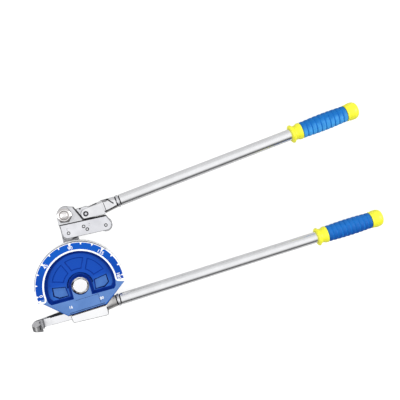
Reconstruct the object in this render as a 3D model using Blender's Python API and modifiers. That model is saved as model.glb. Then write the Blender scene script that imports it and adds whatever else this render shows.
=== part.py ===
"""Two-lever tube bender, modelled lying on its back.

The frame's origin is on the pivot axis, on the plane of the rear nuts. +Z points out of the front of the
form wheel, +X runs along the form handle towards its grip, and +Y points to the 90 mark of the wheel.
"""
import math

import bmesh
import bpy
from mathutils import Vector

mm = 0.001

# Driving dimensions: the tube and its bend
tube_diameter = 16 * mm
bend_radius = 80 * mm
groove_clearance = 0.2 * mm
flange_overlap = 0.5 * mm

# Driving dimensions: thicknesses of the stack, from the rear nuts to the front of the wheel
running_gap = 0.3 * mm
thin_nut_height = 8 * mm
link_thickness = 8 * mm
wheel_width = 25 * mm
plate_thickness = 4 * mm

# Driving dimensions: the levers
bolt_rise = 33 * mm
roller_root_radius = 9 * mm
handle_tube_diameter = 21.3 * mm
handle_tube_wall = 2 * mm
form_handle_offset = 47.4 * mm
form_grip_start = 447 * mm
lever_grip_start = 404.5 * mm
form_handle_tilt = math.radians(2)
link_rest_angle = math.radians(87.8)
lever_lift = math.radians(9)

# Levels that follow from them
tube_radius = tube_diameter / 2
bolt_distance = bend_radius + tube_radius + roller_root_radius + bolt_rise
link_rear = thin_nut_height + running_gap
link_front = link_rear + link_thickness
wheel_rear = link_front + running_gap
wheel_front = wheel_rear + wheel_width
tube_plane = (wheel_rear + wheel_front) / 2
plate_rear_top = wheel_rear + plate_thickness
plate_front_bottom = wheel_front - plate_thickness
handle_tube_radius = handle_tube_diameter / 2

# Fineness of round outlines
round_step = math.radians(14)
bore_sides = 20
cutter_overrun = 4 * mm

for leftover in list(bpy.data.objects):
    bpy.data.objects.remove(leftover, do_unlink=True)
parts = bpy.data.collections.new("tube_bender")
cutters = bpy.data.collections.new("tube_bender_cutters")
for collection in (parts, cutters):
    bpy.context.scene.collection.children.link(collection)


def coat(name, colour, roughness, metallic):
    """A plain painted, moulded or metal surface."""
    surface = bpy.data.materials.new(name)
    surface.use_nodes = True
    shader = surface.node_tree.nodes["Principled BSDF"]
    shader.inputs["Base Color"].default_value = (*colour, 1)
    shader.inputs["Roughness"].default_value = roughness
    shader.inputs["Metallic"].default_value = metallic
    surface.diffuse_color = (*colour, 1)
    return surface


def frame(name, parent=None, place=(0, 0, 0), turn=0.0):
    """An empty that carries pieces, turned about Z."""
    empty = bpy.data.objects.new(name, None)
    parts.objects.link(empty)
    empty.parent = parent
    empty.location = place
    empty.rotation_euler = (0, 0, turn)
    return empty


def piece(name, mesh, carrier, surface, height=0.0):
    """A named solid on its carrier, raised to a height."""
    solid = bpy.data.objects.new(name, mesh)
    parts.objects.link(solid)
    solid.parent = carrier
    solid.location = (0, 0, height)
    mesh.materials.append(surface.copy())
    solid.data.materials[0].name = name + "_surface"
    mesh.shade_smooth()
    mesh.set_sharp_from_angle(angle=math.radians(35))
    return solid


def carve(target, mesh, label, place=(0, 0, 0), turn=(0, 0, 0), operation="DIFFERENCE"):
    """A Boolean step on a piece, with its tool kept among the cutters."""
    tool = bpy.data.objects.new(target.name + "_" + label, mesh)
    cutters.objects.link(tool)
    tool.parent = target.parent
    tool.location = place
    tool.rotation_euler = turn
    tool.hide_render = True
    tool.display_type = "WIRE"
    step = target.modifiers.new(label, "BOOLEAN")
    step.operation = operation
    step.solver = "EXACT"
    step.object = tool
    return tool


def soften(target, width):
    """A small chamfer on every sharp edge."""
    bevel = target.modifiers.new("edges", "BEVEL")
    bevel.width = width
    bevel.segments = 1
    bevel.limit_method = "ANGLE"
    bevel.angle_limit = math.radians(40)


def arc(centre, radius, start, finish, steps=None):
    """Points on an arc from one angle to another, both ends included."""
    steps = steps or max(1, math.ceil(abs(finish - start) / round_step))
    turns = [start + (finish - start) * step / steps for step in range(steps + 1)]
    return [(centre[0] + radius * math.cos(turn), centre[1] + radius * math.sin(turn)) for turn in turns]


def circle(centre, radius, sides=bore_sides):
    """Points round a full circle."""
    turns = [math.tau * side / sides for side in range(sides)]
    return [(centre[0] + radius * math.cos(turn), centre[1] + radius * math.sin(turn)) for turn in turns]


def hexagon(across_flats):
    """Corners of a nut or a bolt head."""
    return circle((0, 0), across_flats / math.sqrt(3), 6)


def rounded(corners):
    """An outline through (x, y, radius) corners, each rounded by its own radius."""
    outline = []
    for index, (x, y, radius) in enumerate(corners):
        here = Vector((x, y))
        before = (Vector(corners[index - 1][:2]) - here).normalized()
        after = (Vector(corners[(index + 1) % len(corners)][:2]) - here).normalized()
        if radius <= 0:
            outline.append((x, y))
            continue
        half = before.angle(after) / 2
        reach = radius / math.tan(half)
        centre = here + (before + after).normalized() * (radius / math.sin(half))
        first = here + before * reach - centre
        last = here + after * reach - centre
        start = math.atan2(first.y, first.x)
        sweep = (math.atan2(last.y, last.x) - start + math.pi) % math.tau - math.pi
        outline += arc(centre, radius, start, start + sweep)
    return outline


def sheet(outline, thickness, holes=()):
    """A flat plate of an outline with holes, centred on its own mid-plane."""
    flat = bpy.data.curves.new("flat", "CURVE")
    flat.dimensions = "2D"
    flat.fill_mode = "BOTH"
    flat.extrude = thickness / 2
    flat.render_resolution_u = 0
    for points in (outline, *holes):
        spline = flat.splines.new("POLY")
        spline.points.add(len(points) - 1)
        for point, (x, y) in zip(spline.points, points):
            point.co = (x, y, 0, 1)
        spline.use_cyclic_u = True
    return solid_mesh(flat)


def solid_mesh(curve):
    """The closed mesh of a filled curve, its caps welded."""
    holder = bpy.data.objects.new("holder", curve)
    bpy.context.scene.collection.objects.link(holder)
    graph = bpy.context.evaluated_depsgraph_get()
    mesh = bpy.data.meshes.new_from_object(holder.evaluated_get(graph))
    bpy.data.objects.remove(holder, do_unlink=True)
    cage = bmesh.new()
    cage.from_mesh(mesh)
    bmesh.ops.remove_doubles(cage, verts=cage.verts, dist=weld_distance)
    cage.to_mesh(mesh)
    cage.free()
    return mesh


def plate(name, carrier, surface, outline, bottom, top, holes=()):
    """A piece cut from plate between two heights."""
    mesh = sheet(outline, top - bottom, holes)
    return piece(name, mesh, carrier, surface, (bottom + top) / 2)


def drill(target, label, centre, radius, bottom, top, sides=bore_sides):
    """A round hole along Z."""
    mesh = sheet(circle((0, 0), radius, sides), top - bottom)
    return carve(target, mesh, label, (centre[0], centre[1], (bottom + top) / 2))


def profile_mesh(profile, closed):
    """The bare edges of a turned profile of (radius, height) points."""
    mesh = bpy.data.meshes.new("profile")
    links = [(index, index + 1) for index in range(len(profile) - 1)]
    if closed:
        links.append((len(profile) - 1, 0))
    mesh.from_pydata([(radius, 0, height) for radius, height in profile], links, [])
    return mesh


def lathe(target, sides):
    """Turns a piece's profile about its own Z."""
    screw = target.modifiers.new("turning", "SCREW")
    screw.angle = math.tau
    screw.steps = sides
    screw.render_steps = sides
    screw.use_merge_vertices = True
    screw.merge_threshold = weld_distance
    screw.use_smooth_shade = True


def turned(name, carrier, surface, profile, sides, closed=True):
    """A turned piece, its profile running out at the top and down its outer side."""
    part = piece(name, profile_mesh(profile, closed), carrier, surface)
    lathe(part, sides)
    return part


def loft(lower, upper, bottom, top):
    """A closed body between two outlines with as many points, at two heights."""
    cage = bmesh.new()
    low_ring = [cage.verts.new((x, y, bottom)) for x, y in lower]
    high_ring = [cage.verts.new((x, y, top)) for x, y in upper]
    cage.faces.new(list(reversed(low_ring)))
    cage.faces.new(high_ring)
    for index in range(len(low_ring)):
        following = (index + 1) % len(low_ring)
        cage.faces.new((low_ring[index], low_ring[following], high_ring[following], high_ring[index]))
    bmesh.ops.recalc_face_normals(cage, faces=cage.faces)
    mesh = bpy.data.meshes.new("loft")
    cage.to_mesh(mesh)
    cage.free()
    return mesh


def along_x(part, start, height, sideways=0.0):
    """Lays a turned piece down, so that its axis runs along its carrier's X."""
    part.rotation_euler = (0, math.pi / 2, 0)
    part.location = (start, sideways, height)


weld_distance = 0.01 * mm

# Paint, steel and moulded grips
blue_paint = coat("blue_paint", (0.01, 0.09, 0.62), 0.35, 0.0)
bright_steel = coat("bright_steel", (0.78, 0.79, 0.8), 0.25, 1.0)
cast_steel = coat("cast_steel", (0.72, 0.73, 0.74), 0.4, 1.0)
dark_steel = coat("dark_steel", (0.2, 0.2, 0.21), 0.4, 1.0)
yellow_plastic = coat("yellow_plastic", (0.9, 0.82, 0.02), 0.4, 0.0)
blue_rubber = coat("blue_rubber", (0.01, 0.14, 0.6), 0.6, 0.0)

# Carriers: one empty on each joint axis
form_line = frame("form_line")
handle_line = frame("handle_line", form_line, turn=form_handle_tilt)
link_axis = frame("link_axis", form_line, turn=link_rest_angle - math.pi / 2)
shoe_axis = frame("shoe_axis", link_axis, (0, bolt_distance, 0))

# Form wheel: groove, scale flange, base plate, recess and ribs
flange_radius = bend_radius + flange_overlap
groove_radius = tube_radius + groove_clearance
flange_edge = 1.2 * mm
wheel_bore_radius = 15.9 * mm
wheel_sides = 72
groove_steps = 8
rim_end_right = math.radians(-8.5)
rim_end_left = math.radians(188)
tail_clearance = 0.5 * mm
left_tip_drop = 14.4 * mm
base_half_width = 35.3 * mm
base_drop = 45.6 * mm
base_plate_thickness = 8 * mm
full_width_drop = 24 * mm
outline_margin = 2 * mm


def wheel_profile():
    """The section of the wheel: flat faces, chamfered flanges and the half-round groove."""
    half_opening = math.sqrt(groove_radius ** 2 - (flange_radius - bend_radius) ** 2)
    turn = math.atan2(half_opening, flange_radius - bend_radius)
    sweep = math.tau - 2 * turn
    groove = []
    for step in range(groove_steps + 1):
        angle = turn + sweep * step / groove_steps
        radius = bend_radius + groove_radius * math.cos(angle)
        groove.append((radius, tube_plane + groove_radius * math.sin(angle)))
    top_edge = [(wheel_bore_radius, wheel_front), (flange_radius - flange_edge, wheel_front),
                (flange_radius, wheel_front - flange_edge)]
    bottom_edge = [(flange_radius, wheel_rear + flange_edge), (flange_radius - flange_edge, wheel_rear),
                   (wheel_bore_radius, wheel_rear)]
    return top_edge + groove + bottom_edge


def on_handle_line(x, y):
    """A point given along the form handle, in the wheel's own axes."""
    cosine = math.cos(form_handle_tilt)
    sine = math.sin(form_handle_tilt)
    return (x * cosine - y * sine, x * sine + y * cosine)


def base_outline(grow=0.0):
    """The wheel seen from the front: the round rim, two tips and the straight lower edge."""
    reach = flange_radius + outline_margin
    tail_x = bend_radius - tube_radius - tail_clearance
    left_tip = (-tail_x - grow, -left_tip_drop - grow)
    lower_left = on_handle_line(-base_half_width - grow, -base_drop - grow)
    lower_right = on_handle_line(base_half_width + grow, -base_drop - grow)
    rim = arc((0, 0), reach, rim_end_right, rim_end_left)
    return rim + [left_tip, lower_left, lower_right]


# The recess round the hub, open at the front
recess_radius = 62.8 * mm
recess_drop = 20.3 * mm
recess_corner_drop = 15.5 * mm
recess_depth = 8 * mm
recess_draft = 2.6 * mm
hub_radius = 17.2 * mm
leg_half_width = 16.6 * mm
trench_radius = 23.5 * mm
trench_depth = 3 * mm
trench_draft = 1 * mm
rib_angles = [math.radians(turn) for turn in (17, 66, 114, 163)]
rib_half_width = 3.2 * mm
panel_inner_radius = 29.5 * mm
panel_outer_radius = 50.5 * mm
panel_depth = 1.6 * mm
panel_draft = 0.8 * mm
recess_steps = 18
hub_steps = 14
panel_steps = 4


def recess_outline(inset):
    """The D-shaped recess with the hub and its leg left standing."""
    radius = recess_radius - inset
    drop = recess_drop - inset
    corner_drop = recess_corner_drop - inset
    hub = hub_radius + inset
    leg = leg_half_width + inset
    corner = math.asin(corner_drop / radius)
    hub_turn = math.acos(leg / hub) if leg < hub else 0.0
    corner_x = math.sqrt(radius ** 2 - drop ** 2) - recess_draft
    outer = arc((0, 0), radius, -corner, math.pi + corner, recess_steps)
    inner = arc((0, 0), hub, math.pi + hub_turn, -hub_turn, hub_steps)
    left = [(-corner_x, -drop), (-leg, -drop)]
    right = [(leg, -drop), (corner_x, -drop)]
    return outer + left + inner + right


def trench_outline(inset):
    """The deeper ring next to the hub."""
    outer = arc((0, 0), trench_radius - inset, 0, math.pi, hub_steps)
    inner = arc((0, 0), hub_radius + recess_draft + inset / 2, math.pi, 0, hub_steps)
    return outer + inner


def panel_outline(first, last, inset):
    """A sunk panel between two ribs."""
    outer = panel_outer_radius - inset
    inner = panel_inner_radius + inset
    side = rib_half_width + inset
    outer_turn = math.asin(side / outer)
    inner_turn = math.asin(side / inner)
    rim = arc((0, 0), outer, first + outer_turn, last - outer_turn, panel_steps)
    return rim + arc((0, 0), inner, last - inner_turn, first + inner_turn, panel_steps)


# The closed five-sided panels beside the leg, as shares of the panels' outer radius
corner_panel_share = [(0.52, 0.06), (0.97, 0.14), (0.99, -0.15), (0.82, -0.27), (0.49, -0.27)]


def corner_panel(side, inset):
    """One of the two five-sided panels at the ends of the recess."""
    points = [Vector((side * x * panel_outer_radius, y * panel_outer_radius)) for x, y in corner_panel_share]
    middle = sum(points, Vector((0, 0))) / len(points)
    return [tuple(point - (point - middle).normalized() * inset) for point in points]


def make_form_wheel():
    """The casting, turned whole and then cut to its outline."""
    wheel = turned("form_wheel", form_line, blue_paint, wheel_profile(), wheel_sides)
    height = wheel_width + 2 * cutter_overrun
    carve(wheel, sheet(base_outline(), height), "outline", (0, 0, tube_plane), operation="INTERSECT")
    step_top = wheel_front - base_plate_thickness
    step_bottom = wheel_rear - cutter_overrun
    reach = flange_radius + cutter_overrun
    step_outline = [on_handle_line(-reach, -full_width_drop), on_handle_line(-reach, -2 * full_width_drop),
                    on_handle_line(reach, -2 * full_width_drop), on_handle_line(reach, -full_width_drop)]
    step_height = (step_top + step_bottom) / 2
    carve(wheel, sheet(step_outline, step_top - step_bottom), "handle_seat", (0, 0, step_height))
    floor = wheel_front - recess_depth
    over = cutter_overrun * recess_draft / recess_depth
    recess = loft(recess_outline(recess_draft), recess_outline(-over), floor, wheel_front + cutter_overrun)
    carve(wheel, recess, "recess")
    trench_floor = floor - trench_depth
    trench_over = cutter_overrun * trench_draft / trench_depth
    trench = loft(trench_outline(trench_draft), trench_outline(-trench_over), trench_floor, floor + cutter_overrun)
    carve(wheel, trench, "trench")
    panel_floor = floor - panel_depth
    panel_over = -panel_draft
    panel_top = floor + panel_depth
    for index in range(len(rib_angles) - 1):
        first = rib_angles[index]
        last = rib_angles[index + 1]
        low = panel_outline(first, last, panel_draft)
        high = panel_outline(first, last, panel_over)
        carve(wheel, loft(low, high, panel_floor, panel_top), "panel_" + str(index + 1))
    for label, side in (("left", -1), ("right", 1)):
        low = corner_panel(side, panel_draft)
        high = corner_panel(side, panel_over)
        carve(wheel, loft(low, high, panel_floor, panel_top), "corner_panel_" + label)
    return wheel


# Hub: bush in the wheel, pin, snap ring and rear nut
pin_radius = 12.4 * mm
pin_recess = 1.3 * mm
pin_edge = 0.8 * mm
pin_shank_radius = 9.9 * mm
bush_clearance = 0.3 * mm
ring_setback = 2.9 * mm
ring_thickness = 1.2 * mm
ring_inner_radius = 11.9 * mm
ring_outer_radius = 14.9 * mm
ring_gap_angle = math.radians(24)
ring_lug_radius = 2 * mm
ring_groove_radius = 11.6 * mm
pivot_nut_flats = 30 * mm
nut_bore_clearance = 0.3 * mm
pin_sides = 30


def make_hub():
    """The pin with what holds it in the wheel and on the link."""
    pin_front = wheel_front - pin_recess
    ring_front = pin_front - ring_setback
    ring_rear = ring_front - ring_thickness
    groove_top = ring_front + running_gap
    groove_bottom = ring_rear - running_gap
    shoulder = link_front + running_gap
    pin_profile = [(0, pin_front), (pin_radius - pin_edge, pin_front), (pin_radius, pin_front - pin_edge),
                   (pin_radius, groove_top), (ring_groove_radius, groove_top),
                   (ring_groove_radius, groove_bottom), (pin_radius, groove_bottom), (pin_radius, shoulder),
                   (pin_shank_radius, shoulder), (pin_shank_radius, running_gap), (0, running_gap)]
    turned("pivot_pin", link_axis, bright_steel, pin_profile, pin_sides, closed=False)
    bush_top = ring_rear - running_gap
    bush_bottom = wheel_rear + running_gap
    bush_inner = pin_radius + bush_clearance
    bush_outer = wheel_bore_radius - bush_clearance
    bush_profile = [(bush_inner, bush_top), (bush_outer, bush_top), (bush_outer, bush_bottom),
                    (bush_inner, bush_bottom)]
    turned("wheel_bush", form_line, bright_steel, bush_profile, pin_sides)
    start = math.pi / 2 + ring_gap_angle / 2
    finish = math.pi / 2 + math.tau - ring_gap_angle / 2
    ring_outline = arc((0, 0), ring_outer_radius, start, finish) + arc((0, 0), ring_inner_radius, finish, start)
    plate("pivot_circlip", link_axis, dark_steel, ring_outline, ring_rear, ring_front)
    bore = circle((0, 0), pin_shank_radius + nut_bore_clearance)
    nut = plate("pivot_nut", link_axis, bright_steel, hexagon(pivot_nut_flats), 0, thin_nut_height, [bore])
    soften(nut, nut_edge)


nut_edge = 0.8 * mm

# Link arm behind the wheel
link_half_width = 14.2 * mm
link_eye_radius = 21 * mm
shoe_bolt_radius = 7.9 * mm
bolt_clearance = 0.3 * mm
plate_edge = 0.6 * mm


def make_link():
    """The flat arm with an eye for the pin and one for the bolt."""
    eye_turn = math.acos(link_half_width / link_eye_radius)
    outline = arc((0, 0), link_eye_radius, math.pi - eye_turn, math.tau + eye_turn)
    outline += arc((0, bolt_distance), link_half_width, 0, math.pi)
    holes = [circle((0, 0), pin_shank_radius + bolt_clearance),
             circle((0, bolt_distance), shoe_bolt_radius + bolt_clearance)]
    link = plate("link_arm", link_axis, bright_steel, outline, link_rear, link_front, holes)
    soften(link, plate_edge)


# Shoe: hexagon bolt, sleeve, body, side plates, rollers and pins
bolt_flats = 24 * mm
bolt_head_height = 10 * mm
bolt_face_radius = 9.7 * mm
bolt_chamfer_drop = 2.4 * mm
sleeve_wall = 2 * mm
body_setback = 2 * mm
roller_flange_radius = 12 * mm
roller_left_x = 0.5 * mm
roller_spacing = 67 * mm
roller_scallop = 0.8 * mm
roller_sides = 26
roller_groove_steps = 6
roller_edge = 0.5 * mm
pin_end_radius = 2.85 * mm
pin_clearance = 0.3 * mm
plate_top_rise = 16.25 * mm
plate_margin = 9.3 * mm
roller_height = -bolt_rise
plate_top = roller_height + plate_top_rise
plate_bottom = roller_height - plate_margin
body_front = wheel_front - body_setback
roller_right_x = roller_left_x + roller_spacing
spacer_place = (roller_left_x + roller_spacing / 2, roller_height)
dowel_offset = (-5.3 * mm, 6.1 * mm)
dowel_place = (spacer_place[0] + dowel_offset[0], spacer_place[1] + dowel_offset[1])
roller_places = ((roller_left_x, roller_height), (roller_right_x, roller_height))
plate_left_overhang = 12.4 * mm
plate_foot_overhang = 10 * mm
plate_right_overhang = 3.8 * mm
plate_nose_overhang = 11.1 * mm
plate_heel_overhang = 7.5 * mm
plate_nose_rise = 2 * mm
plate_corner_radius = 1 * mm
plate_nose_radius = 4 * mm
plate_foot_radius = 9 * mm

# Clevis screw, as seen from the bolt
clevis_round = 9 * mm
clevis_lift = 1.95 * mm
screw_reach = 37.2 * mm
screw_place = (screw_reach, plate_top + clevis_lift + clevis_round)
clevis_gap = 1.9 * mm
tongue_half_thickness = 5.7 * mm
clevis_screw_radius = 3.9 * mm
body_round = 13.9 * mm
body_crown = math.radians(76.5)
body_top_corner = (17.2 * mm, 10.2 * mm)
tongue_round = 12.4 * mm
sleeve_radius = shoe_bolt_radius + bolt_clearance + sleeve_wall


def notch_line():
    """The slanted face of the notch: its foot, and its unit direction down from the top corner."""
    top = Vector(body_top_corner)
    screw = Vector(screw_place)
    distance = clevis_round + clevis_gap
    span = (screw - top).length
    # The face leaves the top corner at the angle that keeps it one gap clear of the clevis
    toward = math.atan2(screw.y - top.y, screw.x - top.x)
    slope = toward - math.asin(distance / span)
    direction = Vector((math.cos(slope), math.sin(slope)))
    run = (plate_top + running_gap - top.y) / direction.y
    return top + direction * run, direction


def body_outline():
    """The thick head of the shoe body, round the bolt and up to the notch."""
    foot, _ = notch_line()
    head = arc((0, 0), body_round, body_crown, math.pi)
    return head + [(-body_round, foot.y), (foot.x, foot.y), body_top_corner]


def web_outline():
    """The web of the shoe body between the plates, hollowed round both rollers."""
    hollow = roller_flange_radius + roller_scallop
    (left_x, _), (right_x, _) = roller_places
    foot_turn = math.asin(web_foot / hollow)
    left = arc((left_x, roller_height), hollow, web_brow_turn, -foot_turn)
    right = arc((right_x, roller_height), hollow, math.pi + foot_turn, math.pi / 2)
    left_edge = -body_round + plate_corner_radius
    right_edge = right_x + web_end
    ledge = roller_height + hollow
    _, brow = left[0]
    foot, _ = notch_line()
    inside_x = foot.x - web_lap
    level = foot.y + web_rise
    top = level + web_lap
    upper = [(right_edge, ledge), (right_edge, level), (inside_x, level), (inside_x, top), (left_edge, top)]
    return left + right + upper + [(left_edge, brow)]


web_lap = 2 * mm
web_rise = 0.25 * mm
web_foot = 5 * mm
web_end = 3 * mm
web_brow_turn = math.radians(125)


def tongue_outline():
    """The tongue that the clevis straddles, from inside the head to round the screw."""
    foot, direction = notch_line()
    eye = arc(screw_place, tongue_round, 0, math.radians(110))
    high_point = Vector(body_top_corner) + direction * tongue_shoulder - Vector((tongue_bite, 0))
    low = foot.y - web_lap
    return eye + [tuple(high_point), (foot.x - 2 * tongue_bite, low), (screw_place[0] + tongue_round, low)]


tongue_bite = 3 * mm
tongue_shoulder = 6 * mm


def make_shoe():
    """The body, its two plates and the pins that rivet them together."""
    body = plate("shoe_body", shoe_axis, cast_steel, body_outline(), wheel_rear, body_front)
    web = sheet(web_outline(), plate_front_bottom - plate_rear_top - 2 * running_gap)
    carve(body, web, "web", (0, 0, tube_plane), operation="UNION")
    tongue = sheet(tongue_outline(), 2 * tongue_half_thickness)
    carve(body, tongue, "tongue", (0, 0, tube_plane), operation="UNION")
    low = wheel_rear - cutter_overrun
    high = body_front + cutter_overrun
    drill(body, "bolt_bore", (0, 0), sleeve_radius + running_gap, low, high)
    drill(body, "screw_bore", screw_place, clevis_screw_radius + pin_clearance, low, high)
    drill(body, "spacer_bore", spacer_place, pin_end_radius + pin_clearance, low, high, pin_bore_sides)
    drill(body, "dowel_bore", dowel_place, pin_end_radius + pin_clearance, low, high, pin_bore_sides)
    (left_x, _), (right_x, _) = roller_places
    corners = [(left_x - plate_left_overhang, plate_top, plate_corner_radius),
               (right_x + plate_right_overhang, plate_top, plate_corner_radius),
               (right_x + plate_nose_overhang, roller_height + plate_nose_rise, plate_nose_radius),
               (right_x + plate_heel_overhang, plate_bottom, plate_foot_radius),
               (left_x - plate_foot_overhang, plate_bottom, plate_foot_radius)]
    bores = [circle(place, pin_end_radius + pin_clearance, pin_bore_sides)
             for place in (*roller_places, spacer_place, dowel_place)]
    levels = {"front": (plate_front_bottom, wheel_front), "rear": (wheel_rear, plate_rear_top)}
    for side, (bottom, top) in levels.items():
        cheek = plate("shoe_plate_" + side, shoe_axis, bright_steel, rounded(corners), bottom, top, bores)
        soften(cheek, plate_edge)
    pins = {"roller_pin_left": roller_places[0], "roller_pin_right": roller_places[1],
            "spacer_pin": spacer_place, "plate_dowel": dowel_place}
    for name, (x, y) in pins.items():
        rivet = turned(name, shoe_axis, bright_steel, pin_profile(), pin_bore_sides, closed=False)
        rivet.location = (x, y, 0)


pin_bore_sides = 16
pin_end_edge = 0.4 * mm
pin_end_rise = 0.3 * mm


def pin_profile():
    """A rivet through both plates, its front end just proud."""
    top = wheel_front + pin_end_rise
    return [(0, top), (pin_end_radius - pin_end_edge, top), (pin_end_radius, top - pin_end_edge),
            (pin_end_radius, wheel_rear), (0, wheel_rear)]


def make_rollers():
    """Two grooved rollers, each on the axis of its pin."""
    half_width = (plate_front_bottom - plate_rear_top) / 2 - running_gap
    bore = pin_end_radius + pin_clearance
    reach = tube_radius + roller_root_radius - roller_flange_radius
    turn = math.acos(reach / tube_radius)
    groove = []
    for step in range(roller_groove_steps + 1):
        angle = turn - 2 * turn * step / roller_groove_steps
        radius = roller_root_radius + tube_radius - tube_radius * math.cos(angle)
        groove.append((radius, tube_plane + tube_radius * math.sin(angle)))
    top = tube_plane + half_width
    bottom = tube_plane - half_width
    profile = [(bore, top), (roller_flange_radius - roller_edge, top), (roller_flange_radius, top - roller_edge)]
    profile += groove
    profile += [(roller_flange_radius, bottom + roller_edge), (roller_flange_radius - roller_edge, bottom),
                (bore, bottom)]
    for name, place in zip(("roller_left", "roller_right"), roller_places):
        axis = frame(name + "_axis", shoe_axis, (*place, 0))
        turned(name, axis, bright_steel, profile, roller_sides)


def make_bolt():
    """The M16 bolt, clamped on its sleeve by a thin nut, and the sleeve that the shoe turns on."""
    seat = body_front + running_gap
    top = seat + bolt_head_height
    corner_radius = bolt_flats / math.sqrt(3) + bolt_margin
    bolt = plate("shoe_bolt", shoe_axis, bright_steel, hexagon(bolt_flats), seat, top)
    crown = [(0, top + crown_rise), (crown_flat_radius, top + crown_rise), (bolt_face_radius, top - crown_drop),
             (corner_radius, top - bolt_chamfer_drop), (corner_radius, seat - cutter_overrun),
             (0, seat - cutter_overrun)]
    blank = carve(bolt, profile_mesh(crown, False), "chamfer", operation="INTERSECT")
    lathe(blank, roller_sides)
    dish = [(0, top + cutter_overrun), (dish_radius, top + cutter_overrun), (dish_radius, top),
            (dish_floor_radius, top - dish_depth), (0, top - dish_depth)]
    hollow = carve(bolt, profile_mesh(dish, False), "dish")
    lathe(hollow, bore_sides)
    shank = sheet(circle((0, 0), shoe_bolt_radius), seat + bolt_margin - running_gap)
    carve(bolt, shank, "shank", (0, 0, (seat + bolt_margin + running_gap) / 2), operation="UNION")
    sleeve_bottom = link_front + running_gap
    inner = shoe_bolt_radius + bolt_clearance
    sleeve_profile = [(inner, body_front), (sleeve_radius, body_front), (sleeve_radius, sleeve_bottom),
                      (inner, sleeve_bottom)]
    turned("shoe_bush", shoe_axis, bright_steel, sleeve_profile, bore_sides)
    bore = circle((0, 0), shoe_bolt_radius + nut_bore_clearance)
    nut = plate("shoe_nut", shoe_axis, bright_steel, hexagon(bolt_flats), 0, thin_nut_height, [bore])
    soften(nut, nut_edge)


bolt_margin = 0.5 * mm
crown_rise = 0.2 * mm
crown_flat_radius = 7.4 * mm
crown_drop = 0.3 * mm
dish_radius = 6.2 * mm
dish_floor_radius = 4.6 * mm
dish_depth = 0.9 * mm

# Lever handle: clevis on its screw, collar, tube and grip
ear_thickness = 4.5 * mm
ear_gap = 0.3 * mm
ear_drop = 8.5 * mm
ear_corner = 1 * mm
ear_top = 11.4 * mm
ear_front_top = 8.2 * mm
ear_draft_depth = 12 * mm
ear_end_x = 33.3 * mm
ear_nose = (34.8 * mm, -1 * mm)
ear_heel = (33.4 * mm, -11.7 * mm)
ear_foot = (29.6 * mm, -13.3 * mm)
fork_depth = 24 * mm
neck_start = 32 * mm
neck_end = 57 * mm
neck_root_radius = 12.6 * mm
neck_tip_radius = 10.4 * mm
neck_flat = 9.4 * mm
neck_sides = 22
spigot_length = 30 * mm
spigot_clearance = 0.35 * mm
collar_width = 6.4 * mm
collar_rise = 0.6 * mm
collar_edge = 0.6 * mm
collar_groove = 0.5 * mm
tube_sides = 26
screw_head_radius = 4.6 * mm
screw_head_height = 3 * mm
screw_head_setback = 0.3 * mm
socket_radius = 2.3 * mm
socket_depth = 2 * mm
half_fork = tongue_half_thickness + ear_gap + ear_thickness
lever_axis = frame("lever_axis", shoe_axis, (*screw_place, 0), lever_lift)


def ear_outline():
    """An ear of the fork: round above the screw, flat along the notch and along the shoe plate."""
    _, direction = notch_line()
    face_turn = math.atan2(direction.y, direction.x) - math.pi / 2 - lever_lift
    floor_turn = -math.pi / 2 - lever_lift
    eye = arc((0, 0), clevis_round, math.pi / 2, math.tau + face_turn)
    # The flat faces meet in a corner that is cut off
    swing = math.sin(floor_turn - face_turn)
    across = (clevis_round * math.sin(floor_turn) - ear_drop * math.sin(face_turn)) / swing
    along = (ear_drop * math.cos(face_turn) - clevis_round * math.cos(floor_turn)) / swing
    corner = Vector((across, along))
    up_the_face = Vector((math.sin(face_turn), -math.cos(face_turn)))
    along_the_floor = Vector((-math.sin(floor_turn), math.cos(floor_turn)))
    cut = [tuple(corner + up_the_face * ear_corner), tuple(corner + along_the_floor * ear_corner)]
    return eye + cut + [ear_foot, ear_heel, ear_nose, (ear_end_x, ear_top)]


def neck_mesh(start, end, root_radius, tip_radius):
    """The profile of a handle's neck, ending in the spigot inside its tube."""
    spigot_radius = handle_tube_radius - handle_tube_wall - spigot_clearance
    spigot_end = end + spigot_length
    profile = [(0, spigot_end), (spigot_radius, spigot_end), (spigot_radius, end), (tip_radius, end),
               (root_radius, start), (0, start)]
    return profile_mesh(profile, False)


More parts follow.
